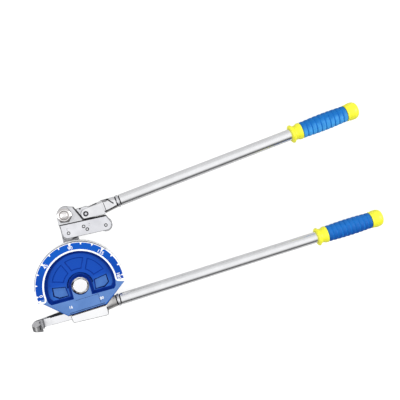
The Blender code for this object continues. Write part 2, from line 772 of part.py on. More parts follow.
def make_clevis():
    """The fork and its shank, which ends in a spigot inside the tube."""
    clevis = plate("handle_clevis", lever_axis, cast_steel, ear_outline(), tube_plane - half_fork,
                   tube_plane + half_fork)
    neck = neck_mesh(neck_start, neck_end, neck_root_radius, neck_tip_radius)
    shank = carve(clevis, neck, "neck", (0, 0, tube_plane), (0, math.pi / 2, 0), "UNION")
    lathe(shank, neck_sides)
    reach = neck_end + spigot_length + cutter_overrun
    width = 2 * neck_root_radius + cutter_overrun
    shave = [(neck_start, -width), (reach, -width), (reach, width), (neck_start, width)]
    depth = neck_root_radius
    for label, side in (("front_flat", 1), ("rear_flat", -1)):
        carve(clevis, sheet(shave, depth), label, (0, 0, tube_plane + side * (neck_flat + depth / 2)))
    # The ears' upper flank slopes out from the front face to the middle of the fork
    high = tube_plane + half_fork
    slope = (ear_top - ear_front_top) / ear_draft_depth
    outside = ear_top + cutter_overrun
    draft = [(high + cutter_overrun, ear_front_top - slope * cutter_overrun), (high + cutter_overrun, outside),
             (high - ear_draft_depth, outside), (high - ear_draft_depth, ear_top)]
    flank_length = neck_start + clevis_round + cutter_overrun
    carve(clevis, sheet(draft, flank_length), "flank", ((neck_start - clevis_round) / 2, 0, 0),
          (0, -math.pi / 2, 0))
    slot = [(-clevis_round - cutter_overrun, -width), (fork_depth, -width), (fork_depth, width),
            (-clevis_round - cutter_overrun, width)]
    carve(clevis, sheet(slot, 2 * (tongue_half_thickness + ear_gap)), "fork", (0, 0, tube_plane))
    low = tube_plane - half_fork - cutter_overrun
    high = tube_plane + half_fork + cutter_overrun
    drill(clevis, "screw_bore", (0, 0), clevis_screw_radius + pin_clearance, low, high)
    seat = tube_plane + half_fork - screw_head_height - screw_head_setback
    drill(clevis, "head_seat", (0, 0), screw_head_radius + pin_clearance, seat, high)


def make_clevis_screw():
    """A flush-headed shoulder screw with a hexagon socket."""
    top = tube_plane + half_fork - screw_head_setback
    under = top - screw_head_height + running_gap
    bottom = tube_plane - half_fork
    profile = [(0, top), (screw_head_radius, top), (screw_head_radius, under), (clevis_screw_radius, under),
               (clevis_screw_radius, bottom), (0, bottom)]
    screw = turned("clevis_screw", lever_axis, dark_steel, profile, bore_sides, closed=False)
    socket = sheet(circle((0, 0), socket_radius, 6), 2 * socket_depth)
    carve(screw, socket, "socket", (0, 0, top))


# Grips: a hard yellow core with flange and cap, and a soft sleeve between them
grip_flange_radius = 17.3 * mm
grip_flange_width = 5 * mm
grip_waist_radius = 12.9 * mm
grip_waist_end = 12 * mm
grip_collar_radius = 14.4 * mm
grip_sleeve_start = 20.3 * mm
grip_sleeve_length = 89 * mm
grip_cap_length = 23.8 * mm
grip_length = grip_sleeve_start + grip_sleeve_length + grip_cap_length
grip_seat_radius = 12.6 * mm
grip_cap_radius = 16.8 * mm
grip_bore_clearance = 0.3 * mm
grip_end_wall = 8 * mm
grip_sides = 26
sleeve_end_radius = 13.9 * mm
sleeve_middle_radius = 15.2 * mm
barrel_steps = 6
cap_steps = 4
cap_neck_length = 6 * mm
cap_straight = 6 * mm


def core_profile():
    """The yellow core, from its closed cap to its flange, and back up its bore."""
    bore = handle_tube_radius + grip_bore_clearance
    sleeve_end = grip_sleeve_start + grip_sleeve_length
    bore_end = grip_length - grip_end_wall
    dome_start = sleeve_end + cap_neck_length + cap_straight
    dome_height = grip_length - dome_start
    outer = []
    for step in range(cap_steps + 1):
        turn = math.pi / 2 * (1 - step / cap_steps)
        radius = grip_cap_radius * math.cos(turn) ** dome_power
        outer.append((radius, dome_start + dome_height * math.sin(turn)))
    outer += [(grip_cap_radius, sleeve_end + cap_neck_length), (grip_collar_radius, sleeve_end),
              (grip_seat_radius, sleeve_end), (grip_seat_radius, grip_sleeve_start),
              (grip_collar_radius, grip_sleeve_start), (grip_collar_radius, grip_waist_end + collar_lead),
              (grip_waist_radius, grip_waist_end), (grip_waist_radius, grip_flange_width + flange_lead),
              (grip_flange_radius - flange_lead, grip_flange_width), (grip_flange_radius, grip_flange_width / 2),
              (grip_flange_radius - flange_lead, 0), (bore, 0), (bore, bore_end), (0, bore_end)]
    return outer


dome_power = 0.45
collar_lead = 1.6 * mm
flange_lead = 1.2 * mm


def sleeve_profile():
    """The soft sleeve: a slight barrel."""
    start = grip_sleeve_start + running_gap
    length = grip_sleeve_length - 2 * running_gap
    inner = grip_seat_radius + running_gap
    outer = []
    for step in range(barrel_steps + 1):
        share = 1 - step / barrel_steps
        barrel = sleeve_end_radius + (sleeve_middle_radius - sleeve_end_radius) * math.sin(math.pi * share)
        outer.append((barrel, start + length * share))
    return [(inner, start + length)] + outer + [(inner, start)]


def make_handle(label, carrier, neck_tip, grip_start, sideways):
    """Collar, tube and grip, one after another along a handle."""
    inner = handle_tube_radius - handle_tube_wall
    outer = handle_tube_radius + collar_rise
    start = neck_tip + running_gap
    half = collar_width / 2
    collar_profile = [(inner, collar_width), (outer - collar_edge, collar_width),
                      (outer, collar_width - collar_edge), (outer, half + collar_groove),
                      (outer - collar_groove, half), (outer, half - collar_groove), (outer, collar_edge),
                      (outer - collar_edge, 0), (inner, 0)]
    collar = turned(label + "_collar", carrier, bright_steel, collar_profile, tube_sides)
    along_x(collar, start, tube_plane, sideways)
    tube_start = start + collar_width + running_gap
    tube_length = grip_start + grip_length - grip_end_wall - running_gap - tube_start
    tube_profile = [(inner, tube_length), (handle_tube_radius, tube_length), (handle_tube_radius, 0), (inner, 0)]
    tube = turned(label + "_tube", carrier, bright_steel, tube_profile, tube_sides)
    along_x(tube, tube_start, tube_plane, sideways)
    core = turned(label + "_grip_core", carrier, yellow_plastic, core_profile(), grip_sides, closed=False)
    along_x(core, grip_start, tube_plane, sideways)
    sleeve = turned(label + "_grip_sleeve", carrier, blue_rubber, sleeve_profile(), grip_sides)
    along_x(sleeve, grip_start, tube_plane, sideways)


# Form handle: forging with the vise lug, screwed to the wheel's base plate from behind
forging_half_width = 33 * mm
forging_top_drop = 26 * mm
forging_corner = 4 * mm
lug_left = -31 * mm
lug_right = 34 * mm
lug_left_drop = 60.6 * mm
lug_right_drop = 66 * mm
lug_shoulder = 35.5 * mm
lug_setback = 2.6 * mm
form_neck_start = 28 * mm
form_neck_end = 53.6 * mm
form_neck_root = 12.6 * mm
form_neck_tip = 10.4 * mm
base_screw_spacing = 22 * mm
base_screw_drop = 34 * mm
base_screw_radius = 4 * mm
base_screw_head_radius = 6.5 * mm
base_screw_head_height = 5 * mm
base_screw_reach = 6 * mm
latch_pivot = (-19.8 * mm, -51.2 * mm)
latch_pocket_right = -6.5 * mm
latch_pocket_top = -39.6 * mm
latch_front = tube_plane - groove_radius - groove_clearance
seat_level = wheel_front - base_plate_thickness - running_gap


def make_forging():
    """Slab behind the base plate, lug below it and neck towards the tube."""
    slab_corners = [(-forging_half_width, -forging_top_drop, forging_corner),
                    (lug_left, -lug_left_drop, forging_corner), (lug_right, -lug_right_drop, forging_corner),
                    (lug_shoulder, -base_drop, 0), (forging_half_width, -forging_top_drop, forging_corner)]
    lug_front = wheel_front - lug_setback
    forging = plate("form_handle_forging", handle_line, cast_steel, rounded(slab_corners), wheel_rear, lug_front)
    neck = neck_mesh(form_neck_start, form_neck_end, form_neck_root, form_neck_tip)
    axis_place = (0, -form_handle_offset, tube_plane)
    bar = carve(forging, neck, "neck", axis_place, (0, math.pi / 2, 0), "UNION")
    lathe(bar, neck_sides)
    room = loft_free_outline(base_outline(running_gap))
    high = wheel_front + cutter_overrun
    carve(forging, sheet(room, high - seat_level), "base_seat", (0, 0, (high + seat_level) / 2))
    pocket_level = latch_front + running_gap
    low = wheel_rear - cutter_overrun
    reach = lug_right_drop + cutter_overrun
    pocket = [(-reach, latch_pocket_top), (-reach, -reach), (latch_pocket_right, -reach),
              (latch_pocket_right, latch_pocket_top)]
    carve(forging, sheet(pocket, pocket_level - low), "latch_pocket", (0, 0, (pocket_level + low) / 2))
    head_top = wheel_rear + base_screw_head_height + 2 * running_gap
    for label, place in base_screw_places().items():
        drill(forging, label + "_screw_bore", place, base_screw_radius + pin_clearance, low, high)
        drill(forging, label + "_screw_seat", place, base_screw_head_radius + pin_clearance, low, head_top)
    drill(forging, "latch_bore", latch_pivot, latch_thread_radius + pin_clearance, low, latch_thread_top)


def loft_free_outline(points):
    """The wheel's outline, given in the form handle's own axes."""
    cosine = math.cos(form_handle_tilt)
    sine = math.sin(form_handle_tilt)
    return [(x * cosine + y * sine, -x * sine + y * cosine) for x, y in points]


def base_screw_places():
    """Three screws along the base plate."""
    return {"left": (-base_screw_spacing, -base_screw_drop), "middle": (0, -base_screw_drop),
            "right": (base_screw_spacing, -base_screw_drop)}


def make_base_screws(wheel):
    """Cap screws from the rear, with their threaded holes in the wheel."""
    head_bottom = wheel_rear + running_gap
    head_top = head_bottom + base_screw_head_height
    tip = seat_level + running_gap + base_screw_reach
    for label, (x, y) in base_screw_places().items():
        profile = [(0, tip), (base_screw_radius, tip), (base_screw_radius, head_top),
                   (base_screw_head_radius, head_top), (base_screw_head_radius, head_bottom), (0, head_bottom)]
        screw = turned("base_screw_" + label, handle_line, dark_steel, profile, bore_sides, closed=False)
        screw.location = (x, y, 0)
        socket = sheet(circle((0, 0), base_socket_radius, 6), 2 * base_socket_depth)
        carve(screw, socket, "socket", (x, y, head_bottom))
        bore_x, bore_y = on_handle_line(x, y)
        drill(wheel, label + "_screw_bore", (bore_x, bore_y), base_screw_radius + pin_clearance,
              wheel_rear - cutter_overrun, tip + running_gap)


base_socket_radius = 3.4 * mm
base_socket_depth = 3 * mm

# Latch: arm behind the wheel, with a hook that closes round the tube's straight tail
latch_eye_radius = 10.5 * mm
latch_root_thickness = 12 * mm
latch_tip_thickness = 8 * mm
latch_arm_height = 12.6 * mm
latch_axis_y = -51.8 * mm
latch_flank = 2.2 * mm
hook_wall = 13 * mm
hook_lip_thickness = 5.4 * mm
hook_outer_round = 12 * mm
hook_lip_reach = 2.5 * mm
hook_slope_drop = 6 * mm
latch_screw_radius = 5 * mm
latch_screw_head_radius = 8 * mm
latch_screw_head_height = 3.6 * mm
latch_thread_radius = 4 * mm
latch_thread_reach = 11 * mm
latch_washer_thickness = 1.2 * mm
latch_washer_radius = 9 * mm
latch_thread_top = latch_front + latch_thread_reach + running_gap
latch_place = on_handle_line(*latch_pivot)
latch_axis = frame("latch_axis", form_line, (*latch_place, 0))
hook_steps = 10


def hook_outline():
    """The hook seen along the tube: rear arm, thick outer wall and front lip, as (x, height)."""
    tube_x = -bend_radius - latch_place[0]
    hole = groove_radius + groove_clearance
    outer_x = tube_x - hole - hook_wall
    rear = latch_front - latch_tip_thickness
    front = tube_plane + hole + hook_lip_thickness
    lip_x = tube_x - hook_lip_reach
    corners = [(outer_x, rear, hook_outer_round), (outer_x, front, hook_outer_round)]
    outside = rounded([(lip_x, rear, 0), *corners, (lip_x, front, 0)])[1:-1]
    lip_turn = math.acos(-hook_lip_reach / hole)
    hollow = arc((tube_x, tube_plane), hole, lip_turn, math.pi * 3 / 2)
    arm_end = tube_x + hook_overlap
    return [(arm_end, rear)] + outside + [(lip_x, front)] + hollow + [(arm_end, latch_front)]


hook_overlap = 12 * mm


def make_latch():
    """Arm and eye cut from plate, with the hook joined on and its top sloped."""
    half = latch_arm_height / 2
    tube_x = -bend_radius - latch_place[0]
    side_y = latch_axis_y - latch_place[1]
    eye_turn = math.asin(half / latch_eye_radius)
    outline = arc((0, 0), latch_eye_radius, -math.pi + eye_turn, math.pi - eye_turn)
    hip_x = -math.sqrt(latch_eye_radius ** 2 - (half + latch_flank) ** 2)
    outline = [point for point in outline if point[0] > hip_x or point[1] < 0]
    outline += [(hip_x, half + latch_flank), (tube_x / 2, side_y + half + latch_flank)]
    outline += [(tube_x + hook_lip_reach, side_y + half), (tube_x + hook_lip_reach, side_y - half)]
    rear = latch_front - latch_root_thickness
    bore = circle((0, 0), latch_screw_radius + pin_clearance)
    latch = plate("latch", latch_axis, cast_steel, outline, rear, latch_front, [bore])
    hook_mesh = sheet(hook_outline(), latch_arm_height)
    carve(latch, hook_mesh, "hook", (0, side_y, 0), (math.pi / 2, 0, 0), "UNION")
    # The arm gets thinner from behind, towards the hook
    over = cutter_overrun
    tip_x = tube_x - groove_radius - hook_wall - over
    taper = [(-latch_eye_radius, rear - over), (-latch_eye_radius, rear),
             (tube_x + hook_overlap, latch_front - latch_tip_thickness),
             (tip_x, latch_front - latch_tip_thickness), (tip_x, rear - over)]
    width = latch_arm_height + 2 * over
    carve(latch, sheet(taper, width), "taper", (0, side_y, 0), (math.pi / 2, 0, 0))
    front = tube_plane + groove_radius + hook_lip_thickness + over
    slope_foot = side_y + half
    slope = [(slope_foot + over, latch_front), (slope_foot, latch_front), (slope_foot - hook_slope_drop, front),
             (slope_foot + over, front)]
    length = hook_wall + 2 * groove_radius + 2 * over
    wedge_x = tube_x - groove_radius - hook_wall - over + length / 2
    carve(latch, sheet(slope, length), "slope", (wedge_x, 0, 0), (math.pi / 2, 0, math.pi / 2))
    # The arm's upper flank slopes: full height behind, less at the front
    flank = [(slope_foot + latch_flank + over, rear), (slope_foot + latch_flank, rear), (slope_foot, latch_front),
             (slope_foot, latch_front + over), (slope_foot + latch_flank + over, latch_front + over)]
    flank_end = -latch_eye_radius
    flank_length = flank_end - tip_x
    flank_x = (flank_end + tip_x) / 2
    carve(latch, sheet(flank, flank_length), "flank", (flank_x, 0, 0), (math.pi / 2, 0, math.pi / 2))
    washer_top = rear - running_gap
    washer_bottom = washer_top - latch_washer_thickness
    plate("latch_washer", latch_axis, bright_steel, circle((0, 0), latch_washer_radius), washer_bottom,
          washer_top, [bore])
    head_top = washer_bottom - running_gap
    head_bottom = head_top - latch_screw_head_height
    shoulder = latch_front
    tip = latch_thread_top - running_gap
    profile = [(0, tip), (latch_thread_radius, tip), (latch_thread_radius, shoulder),
               (latch_screw_radius, shoulder), (latch_screw_radius, head_top),
               (latch_screw_head_radius, head_top), (latch_screw_head_radius, head_bottom), (0, head_bottom)]
    screw = turned("latch_screw", latch_axis, dark_steel, profile, bore_sides, closed=False)
    socket = sheet(circle((0, 0), base_socket_radius, 6), 2 * latch_socket_depth)
    carve(screw, socket, "socket", (0, 0, head_bottom))


latch_socket_depth = 2 * mm

form_wheel = make_form_wheel()
make_hub()
make_link()
make_bolt()
make_shoe()
make_rollers()
make_clevis()
make_clevis_screw()
make_handle("upper", lever_axis, neck_end, lever_grip_start, 0)
make_forging()
make_base_screws(form_wheel)
make_handle("lower", handle_line, form_neck_end, form_grip_start, -form_handle_offset)
make_latch()
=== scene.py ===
"""A two-lever tube bender on a pale studio floor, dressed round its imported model."""
import math

import bmesh
import bpy
from mathutils import Matrix, Vector


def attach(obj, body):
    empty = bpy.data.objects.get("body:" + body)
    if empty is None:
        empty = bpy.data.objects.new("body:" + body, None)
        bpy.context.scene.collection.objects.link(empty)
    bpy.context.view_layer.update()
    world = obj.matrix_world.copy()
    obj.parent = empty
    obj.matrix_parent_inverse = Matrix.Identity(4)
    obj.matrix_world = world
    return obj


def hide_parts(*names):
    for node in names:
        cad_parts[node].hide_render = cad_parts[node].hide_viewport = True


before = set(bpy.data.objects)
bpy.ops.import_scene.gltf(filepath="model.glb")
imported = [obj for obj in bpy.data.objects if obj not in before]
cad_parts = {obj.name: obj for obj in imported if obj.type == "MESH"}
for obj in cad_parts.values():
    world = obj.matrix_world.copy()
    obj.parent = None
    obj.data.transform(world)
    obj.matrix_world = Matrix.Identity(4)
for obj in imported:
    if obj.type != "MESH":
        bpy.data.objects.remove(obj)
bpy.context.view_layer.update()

# The photograph is taken from almost straight above the tool, which lies on its back.
# The camera stands where the wheel's face, its hub and its tilt come out at their places in the picture.
mm = 0.001
picture_width_px = 400
focal_px = 650
sensor_width = 36
wheel_front = 41.6 * mm
hub_px = (80.2, 285.9)
hub_distance = 1162.9 * mm
tool_roll = math.radians(13.8)

into_tool = Vector((-0.150, -0.063, 0.987)).normalized()
tool_z = -into_tool
tool_x = Vector((math.cos(tool_roll), -math.sin(tool_roll), 0))
tool_x = (tool_x - tool_z * tool_x.dot(tool_z)).normalized()
tool_y = tool_z.cross(tool_x)
half_width_px = picture_width_px / 2
hub_ray = Vector(((hub_px[0] - half_width_px) / focal_px, (hub_px[1] - half_width_px) / focal_px, 1))
hub_seen = hub_ray * hub_distance
eye = Vector((-hub_seen.dot(tool_x), -hub_seen.dot(tool_y), wheel_front - hub_seen.dot(tool_z)))
right = Vector((tool_x.x, tool_y.x, tool_z.x))
down = Vector((tool_x.y, tool_y.y, tool_z.y))
forward = Vector((tool_x.z, tool_y.z, tool_z.z))
camera_data = bpy.data.cameras.new("camera")
camera_data.lens = focal_px / picture_width_px * sensor_width
camera_data.sensor_width = sensor_width
camera_data.clip_start = 10 * mm
camera = bpy.data.objects.new("camera", camera_data)
turn = Matrix((right, -down, -forward)).transposed().to_4x4()
camera.matrix_world = Matrix.Translation(eye) @ turn
bpy.context.scene.collection.objects.link(camera)
bpy.context.scene.camera = camera
bpy.context.scene.view_settings.view_transform = "Standard"

# The floor: pale matt paint that glows, white to the camera and a softer grey in reflections.
# So nothing throws a hard shadow, and bright steel keeps its outline against it.
floor_half = 20
floor_gap = 0.6 * mm
floor_grey = 0.35
glow_in_reflections = 0.22
glow_to_camera = 0.8


def graded(tree, value, start, end, low, high, interpolation="LINEAR"):
    """Turns a value that runs from start to end into one that runs from low to high."""
    span = tree.nodes.new("ShaderNodeMapRange")
    span.interpolation_type = interpolation
    span.inputs["From Min"].default_value = start
    span.inputs["From Max"].default_value = end
    span.inputs["To Min"].default_value = low
    span.inputs["To Max"].default_value = high
    tree.links.new(value, span.inputs["Value"])
    return span.outputs["Result"]


floor_mesh = bpy.data.meshes.new("floor")
floor_corners = [(-floor_half, -floor_half, 0), (floor_half, -floor_half, 0), (floor_half, floor_half, 0),
                 (-floor_half, floor_half, 0)]
floor_mesh.from_pydata(floor_corners, [], [(0, 1, 2, 3)])
floor = bpy.data.objects.new("floor", floor_mesh)
floor.location.z = -floor_gap
bpy.context.scene.collection.objects.link(floor)
floor_paint = bpy.data.materials.new("floor_paint")
floor_paint.use_nodes = True
floor_nodes = floor_paint.node_tree
floor_shader = floor_nodes.nodes["Principled BSDF"]
floor_shader.inputs["Base Color"].default_value = (floor_grey, floor_grey, floor_grey, 1)
floor_shader.inputs["Roughness"].default_value = 0.9
floor_shader.inputs["Specular IOR Level"].default_value = 0.0
floor_shader.inputs["Emission Color"].default_value = (1, 1, 1, 1)
rays = floor_nodes.nodes.new("ShaderNodeLightPath")
glow = graded(floor_nodes, rays.outputs["Is Camera Ray"], 0, 1, glow_in_reflections, glow_to_camera)
floor_nodes.links.new(glow, floor_shader.inputs["Emission Strength"])
floor_mesh.materials.append(floor_paint)

# The studio's room: bright overhead and dark low in front, so that round steel shows a darker lower flank.
# Two square lamps, one on each side, lighten the handles and the wheel alike.
front_light = 0.12
rear_light = 0.76
overhead_light = 1.03
front_to_rear = (-0.55, 0.3)
side_to_overhead = (0.44, 0.985)
room_tint = (0.985, 0.99, 1.0, 1)
lamp_aim = (0.25, 0.05, 0)
lamp_size = 1.2
world = bpy.data.worlds.new("studio")
world.use_nodes = True
bpy.context.scene.world = world
sky = world.node_tree
backdrop = sky.nodes["Background"]
direction = sky.nodes.new("ShaderNodeTexCoord")
split = sky.nodes.new("ShaderNodeSeparateXYZ")
sky.links.new(direction.outputs["Generated"], split.inputs[0])
low_light = graded(sky, split.outputs["Y"], *front_to_rear, front_light, rear_light, "SMOOTHSTEP")
height = graded(sky, split.outputs["Z"], *side_to_overhead, 0, 1, "SMOOTHSTEP")
blend = sky.nodes.new("ShaderNodeMix")
sky.links.new(height, blend.inputs["Factor"])
sky.links.new(low_light, blend.inputs["A"])
blend.inputs["B"].default_value = overhead_light
sky.links.new(blend.outputs["Result"], backdrop.inputs["Strength"])
backdrop.inputs["Color"].default_value = room_tint


def softbox(name, place, watts):
    """A square lamp that faces the tool."""
    lamp_data = bpy.data.lights.new(name, "AREA")
    lamp_data.shape = "SQUARE"
    lamp_data.size = lamp_size
    lamp_data.energy = watts
    lamp = bpy.data.objects.new(name, lamp_data)
    lamp.location = place
    lamp.rotation_euler = (Vector(lamp_aim) - Vector(place)).to_track_quat("-Z", "Y").to_euler()
    bpy.context.scene.collection.objects.link(lamp)


softbox("right_lamp", (2.4, 0.05, 1.7), 40)
softbox("left_lamp", (-2.0, 0.05, 1.7), 36)

# The form wheel: an aluminium casting turned with its tube groove, with a blue front and a bare rim.
# Its outline, recess, ribs and sunk panels are cast in; every edge is broken.
tube_diameter = 16 * mm
bend_radius = 80 * mm
groove_clearance = 0.2 * mm
flange_overlap = 0.5 * mm
running_gap = 0.3 * mm
thin_nut_height = 8 * mm
link_thickness = 8 * mm
form_handle_tilt = math.radians(2)
tube_radius = tube_diameter / 2
link_rear = thin_nut_height + running_gap
link_front = link_rear + link_thickness
wheel_rear = link_front + running_gap
tube_plane = (wheel_rear + wheel_front) / 2
fine_step = math.radians(4)
weld_distance = 0.005 * mm
shortest_side = 0.02 * mm
mitre_limit = 0.35
sharp_angle = math.radians(38)


def polar(radius, turn):
    """A point at a distance and an angle from an axis."""
    return (radius * math.cos(turn), radius * math.sin(turn))


def off_axis(point):
    """How far a point lies from its piece's own axis."""
    return math.hypot(point.x, point.y)


def arc(centre, radius, start, finish, steps=None):
    """Points on an arc, both ends included."""
    steps = steps or max(1, math.ceil(abs(finish - start) / fine_step))
    turns = [start + (finish - start) * step / steps for step in range(steps + 1)]
    return [(centre[0] + radius * math.cos(turn), centre[1] + radius * math.sin(turn)) for turn in turns]


def circle(centre, radius, sides=48):
    """Points round a full circle."""
    turns = [math.tau * side / sides for side in range(sides)]
    return [(centre[0] + radius * math.cos(turn), centre[1] + radius * math.sin(turn)) for turn in turns]


def object_of(name, mesh):
    """A mesh as an object in the scene."""
    solid = bpy.data.objects.new(name, mesh)
    bpy.context.scene.collection.objects.link(solid)
    return solid


def evaluated_mesh(source):
    """The mesh that an object's modifiers give."""
    graph = bpy.context.evaluated_depsgraph_get()
    graph.update()
    seen = source.evaluated_get(graph)
    return bpy.data.meshes.new_from_object(seen, preserve_all_data_layers=True, depsgraph=graph)


def sheet(outline, bottom, top, holes=()):
    """A flat plate between two heights."""
    flat = bpy.data.curves.new("flat", "CURVE")
    flat.dimensions = "2D"
    flat.fill_mode = "BOTH"
    flat.extrude = (top - bottom) / 2
    for points in (outline, *holes):
        spline = flat.splines.new("POLY")
        spline.points.add(len(points) - 1)
        for point, (x, y) in zip(spline.points, points):
            point.co = (x, y, 0, 1)
        spline.use_cyclic_u = True
    holder = object_of("holder", flat)
    mesh = evaluated_mesh(holder)
    bpy.data.objects.remove(holder, do_unlink=True)
    cage = bmesh.new()
    cage.from_mesh(mesh)
    bmesh.ops.remove_doubles(cage, verts=cage.verts, dist=weld_distance)
    bmesh.ops.translate(cage, verts=cage.verts, vec=(0, 0, (bottom + top) / 2))
    cage.to_mesh(mesh)
    cage.free()
    return mesh


def lathe(profile, sides, closed=True):
    """A closed body turned from (radius, height) points that run down its outer side."""
    cage = bmesh.new()
    rings = []
    for radius, height in profile:
        if radius < weld_distance:
            rings.append([cage.verts.new((0, 0, height))])
        else:
            rings.append([cage.verts.new((x, y, height)) for x, y in circle((0, 0), radius, sides)])
    pairs = list(zip(rings, rings[1:]))
    if closed:
        pairs.append((rings[-1], rings[0]))
    for upper, lower in pairs:
        for side in range(sides):
            after = (side + 1) % sides
            corners = list(dict.fromkeys((upper[side % len(upper)], lower[side % len(lower)],
                                          lower[after % len(lower)], upper[after % len(upper)])))
            if len(corners) > 2:
                cage.faces.new(corners)
    bmesh.ops.recalc_face_normals(cage, faces=cage.faces)
    mesh = bpy.data.meshes.new("turned")
    cage.to_mesh(mesh)
    cage.free()
    return mesh


def loft(*levels):
    """A closed body through (outline, height) levels that have as many points each."""
    cage = bmesh.new()
    rings = [[cage.verts.new((x, y, height)) for x, y in outline] for outline, height in levels]
    cage.faces.new(rings[0])
    cage.faces.new(rings[-1])
    for low, high in zip(rings, rings[1:]):
        for index in range(len(low)):
            after = (index + 1) % len(low)
            cage.faces.new((low[index], low[after], high[after], high[index]))
    bmesh.ops.recalc_face_normals(cage, faces=cage.faces)
    mesh = bpy.data.meshes.new("loft")
    cage.to_mesh(mesh)
    cage.free()
    return mesh


def inset(outline, distance):
    """An outline moved inwards by a distance."""
    points = [Vector(point) for point in outline]
    doubled_area = sum(a.x * b.y - b.x * a.y for a, b in zip(points, points[1:] + points[:1]))
    inward = math.copysign(distance, doubled_area)
    moved = []
    for index, here in enumerate(points):
        before = (here - points[index - 1]).normalized()
        after = (points[(index + 1) % len(points)] - here).normalized()
        first = Vector((-before.y, before.x))
        middle = (first + Vector((-after.y, after.x))).normalized()
        moved.append(tuple(here + middle * inward / max(mitre_limit, middle.dot(first))))
    return moved


def chamfered(outline, bottom, top, edge):
    """A plate whose front and rear edges are chamfered."""
    kept = [point for index, point in enumerate(outline)
            if (Vector(point) - Vector(outline[index - 1])).length > shortest_side]
    smaller = inset(kept, edge)
    return loft((smaller, bottom), (kept, bottom + edge), (kept, top - edge), (smaller, top))


def shaped(mesh, cuts=(), joins=(), keeps=(), edge=0.0):
    """A mesh after Boolean steps, with its sharp edges broken."""
    solid = object_of("solid", mesh)
    tools = []
    steps = [("UNION", other) for other in joins] + [("INTERSECT", other) for other in keeps]
    steps += [("DIFFERENCE", other) for other in cuts]
    for operation, other in steps:
        tool = object_of("tool", other)
        tools.append(tool)
        step = solid.modifiers.new(operation, "BOOLEAN")
        step.operation = operation
        step.solver = "EXACT"
        step.object = tool
    if edge:
        bevel = solid.modifiers.new("edges", "BEVEL")
        bevel.width = edge
        bevel.segments = 2
        bevel.limit_method = "ANGLE"
        bevel.angle_limit = sharp_angle
    result = evaluated_mesh(solid)
    for leftover in (solid, *tools):
        bpy.data.objects.remove(leftover, do_unlink=True)
    return result


def dress(name, mesh, place, body, nodes, slot_name, finish, *others, smooth=36):
    """Puts a finished piece where its CAD node is; faces that pass a test get a finish of their own."""
    mesh.materials.clear()
    mesh.materials.append(finish)
    for index, (other, belongs) in enumerate(others, 1):
        mesh.materials.append(other)
        for face in mesh.polygons:
            if belongs(face.center, face.normal):
                face.material_index = index
    mesh.transform(place)
    mesh.name = name
    mesh.shade_smooth()
    mesh.set_sharp_from_angle(angle=math.radians(smooth))
    solid = object_of(name, mesh)
    weigh = solid.modifiers.new("flat_faces", "WEIGHTED_NORMAL")
    weigh.keep_sharp = True
    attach(solid, body)
    if nodes:
        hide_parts(*nodes)
    return solid


def finish_nodes(name, colour, roughness, metallic):
    """A new finish: its node tree, its shader and the piece's own coordinates."""
    surface = bpy.data.materials.new(name)
    surface.use_nodes = True
    tree = surface.node_tree
    shader = tree.nodes["Principled BSDF"]
    shader.inputs["Base Color"].default_value = (*colour, 1)
    shader.inputs["Roughness"].default_value = roughness
    shader.inputs["Metallic"].default_value = metallic
    place = tree.nodes.new("ShaderNodeTexCoord")
    return surface, tree, shader, place.outputs["Object"]


def grain(tree, where, scale, detail=3.0, stretch=(1, 1, 1)):
    """A noise pattern, stretched along an axis where it stands for tool marks."""
    mapping = tree.nodes.new("ShaderNodeMapping")
    mapping.inputs["Scale"].default_value = stretch
    noise = tree.nodes.new("ShaderNodeTexNoise")
    noise.inputs["Scale"].default_value = scale
    noise.inputs["Detail"].default_value = detail
    tree.links.new(where, mapping.inputs["Vector"])
    tree.links.new(mapping.outputs["Vector"], noise.inputs["Vector"])
    return noise.outputs["Fac"]


def spread(tree, pattern, low, high, shader):
    """Drives the roughness between two limits by a pattern."""
    tree.links.new(graded(tree, pattern, 0.3, 0.7, low, high), shader.inputs["Roughness"])


def tinted(tree, pattern, first, second, shader):
    """Drives the colour between two shades by a pattern."""
    ramp = tree.nodes.new("ShaderNodeValToRGB")
    ramp.color_ramp.elements[0].position = 0.35
    ramp.color_ramp.elements[0].color = (*first, 1)
    ramp.color_ramp.elements[1].position = 0.68
    ramp.color_ramp.elements[1].color = (*second, 1)
    tree.links.new(pattern, ramp.inputs["Fac"])
    tree.links.new(ramp.outputs["Color"], shader.inputs["Base Color"])


def relief(tree, pattern, depth, shader):
    """A fine bump from a pattern, of a depth in metres."""
    bump = tree.nodes.new("ShaderNodeBump")
    bump.inputs["Strength"].default_value = 1.0
    bump.inputs["Distance"].default_value = depth
    tree.links.new(pattern, bump.inputs["Height"])
    tree.links.new(bump.outputs["Normal"], shader.inputs["Normal"])


def enamel(name, colour, shade, roughness, gloss, heights=None):
    """Baked enamel with faint orange peel: a little cloudy, or with painted light fading between two heights
    on the wheel.
    """
    surface, tree, shader, where = finish_nodes(name, colour, roughness, 0.0)
    shader.inputs["Specular IOR Level"].default_value = gloss
    if heights:
        parts = tree.nodes.new("ShaderNodeSeparateXYZ")
        tree.links.new(where, parts.inputs[0])
        tinted(tree, graded(tree, parts.outputs["Y"], *heights, 0, 1), colour, shade, shader)
    else:
        tinted(tree, grain(tree, where, 60, 2.0), colour, shade, shader)
    spread(tree, grain(tree, where, 240), roughness - 0.06, roughness + 0.08, shader)
    relief(tree, grain(tree, where, 900, 2.0), 0.02 * mm, shader)
    return surface


def steel(name, colour, shade, roughness, stretch=(1, 1, 1), depth=0.01 * mm, scale=500, metallic=1.0):
    """Plated or machined metal with fine marks that run one way."""
    surface, tree, shader, where = finish_nodes(name, colour, roughness, metallic)
    marks = grain(tree, where, scale, 4.0, stretch)
    tinted(tree, grain(tree, where, 45), colour, shade, shader)
    spread(tree, marks, roughness - 0.07, roughness + 0.09, shader)
    relief(tree, marks, depth, shader)
    return surface


def side_faces(centre, normal):
    """All but the flat front and rear of a piece."""
    return abs(normal.z) < 0.9
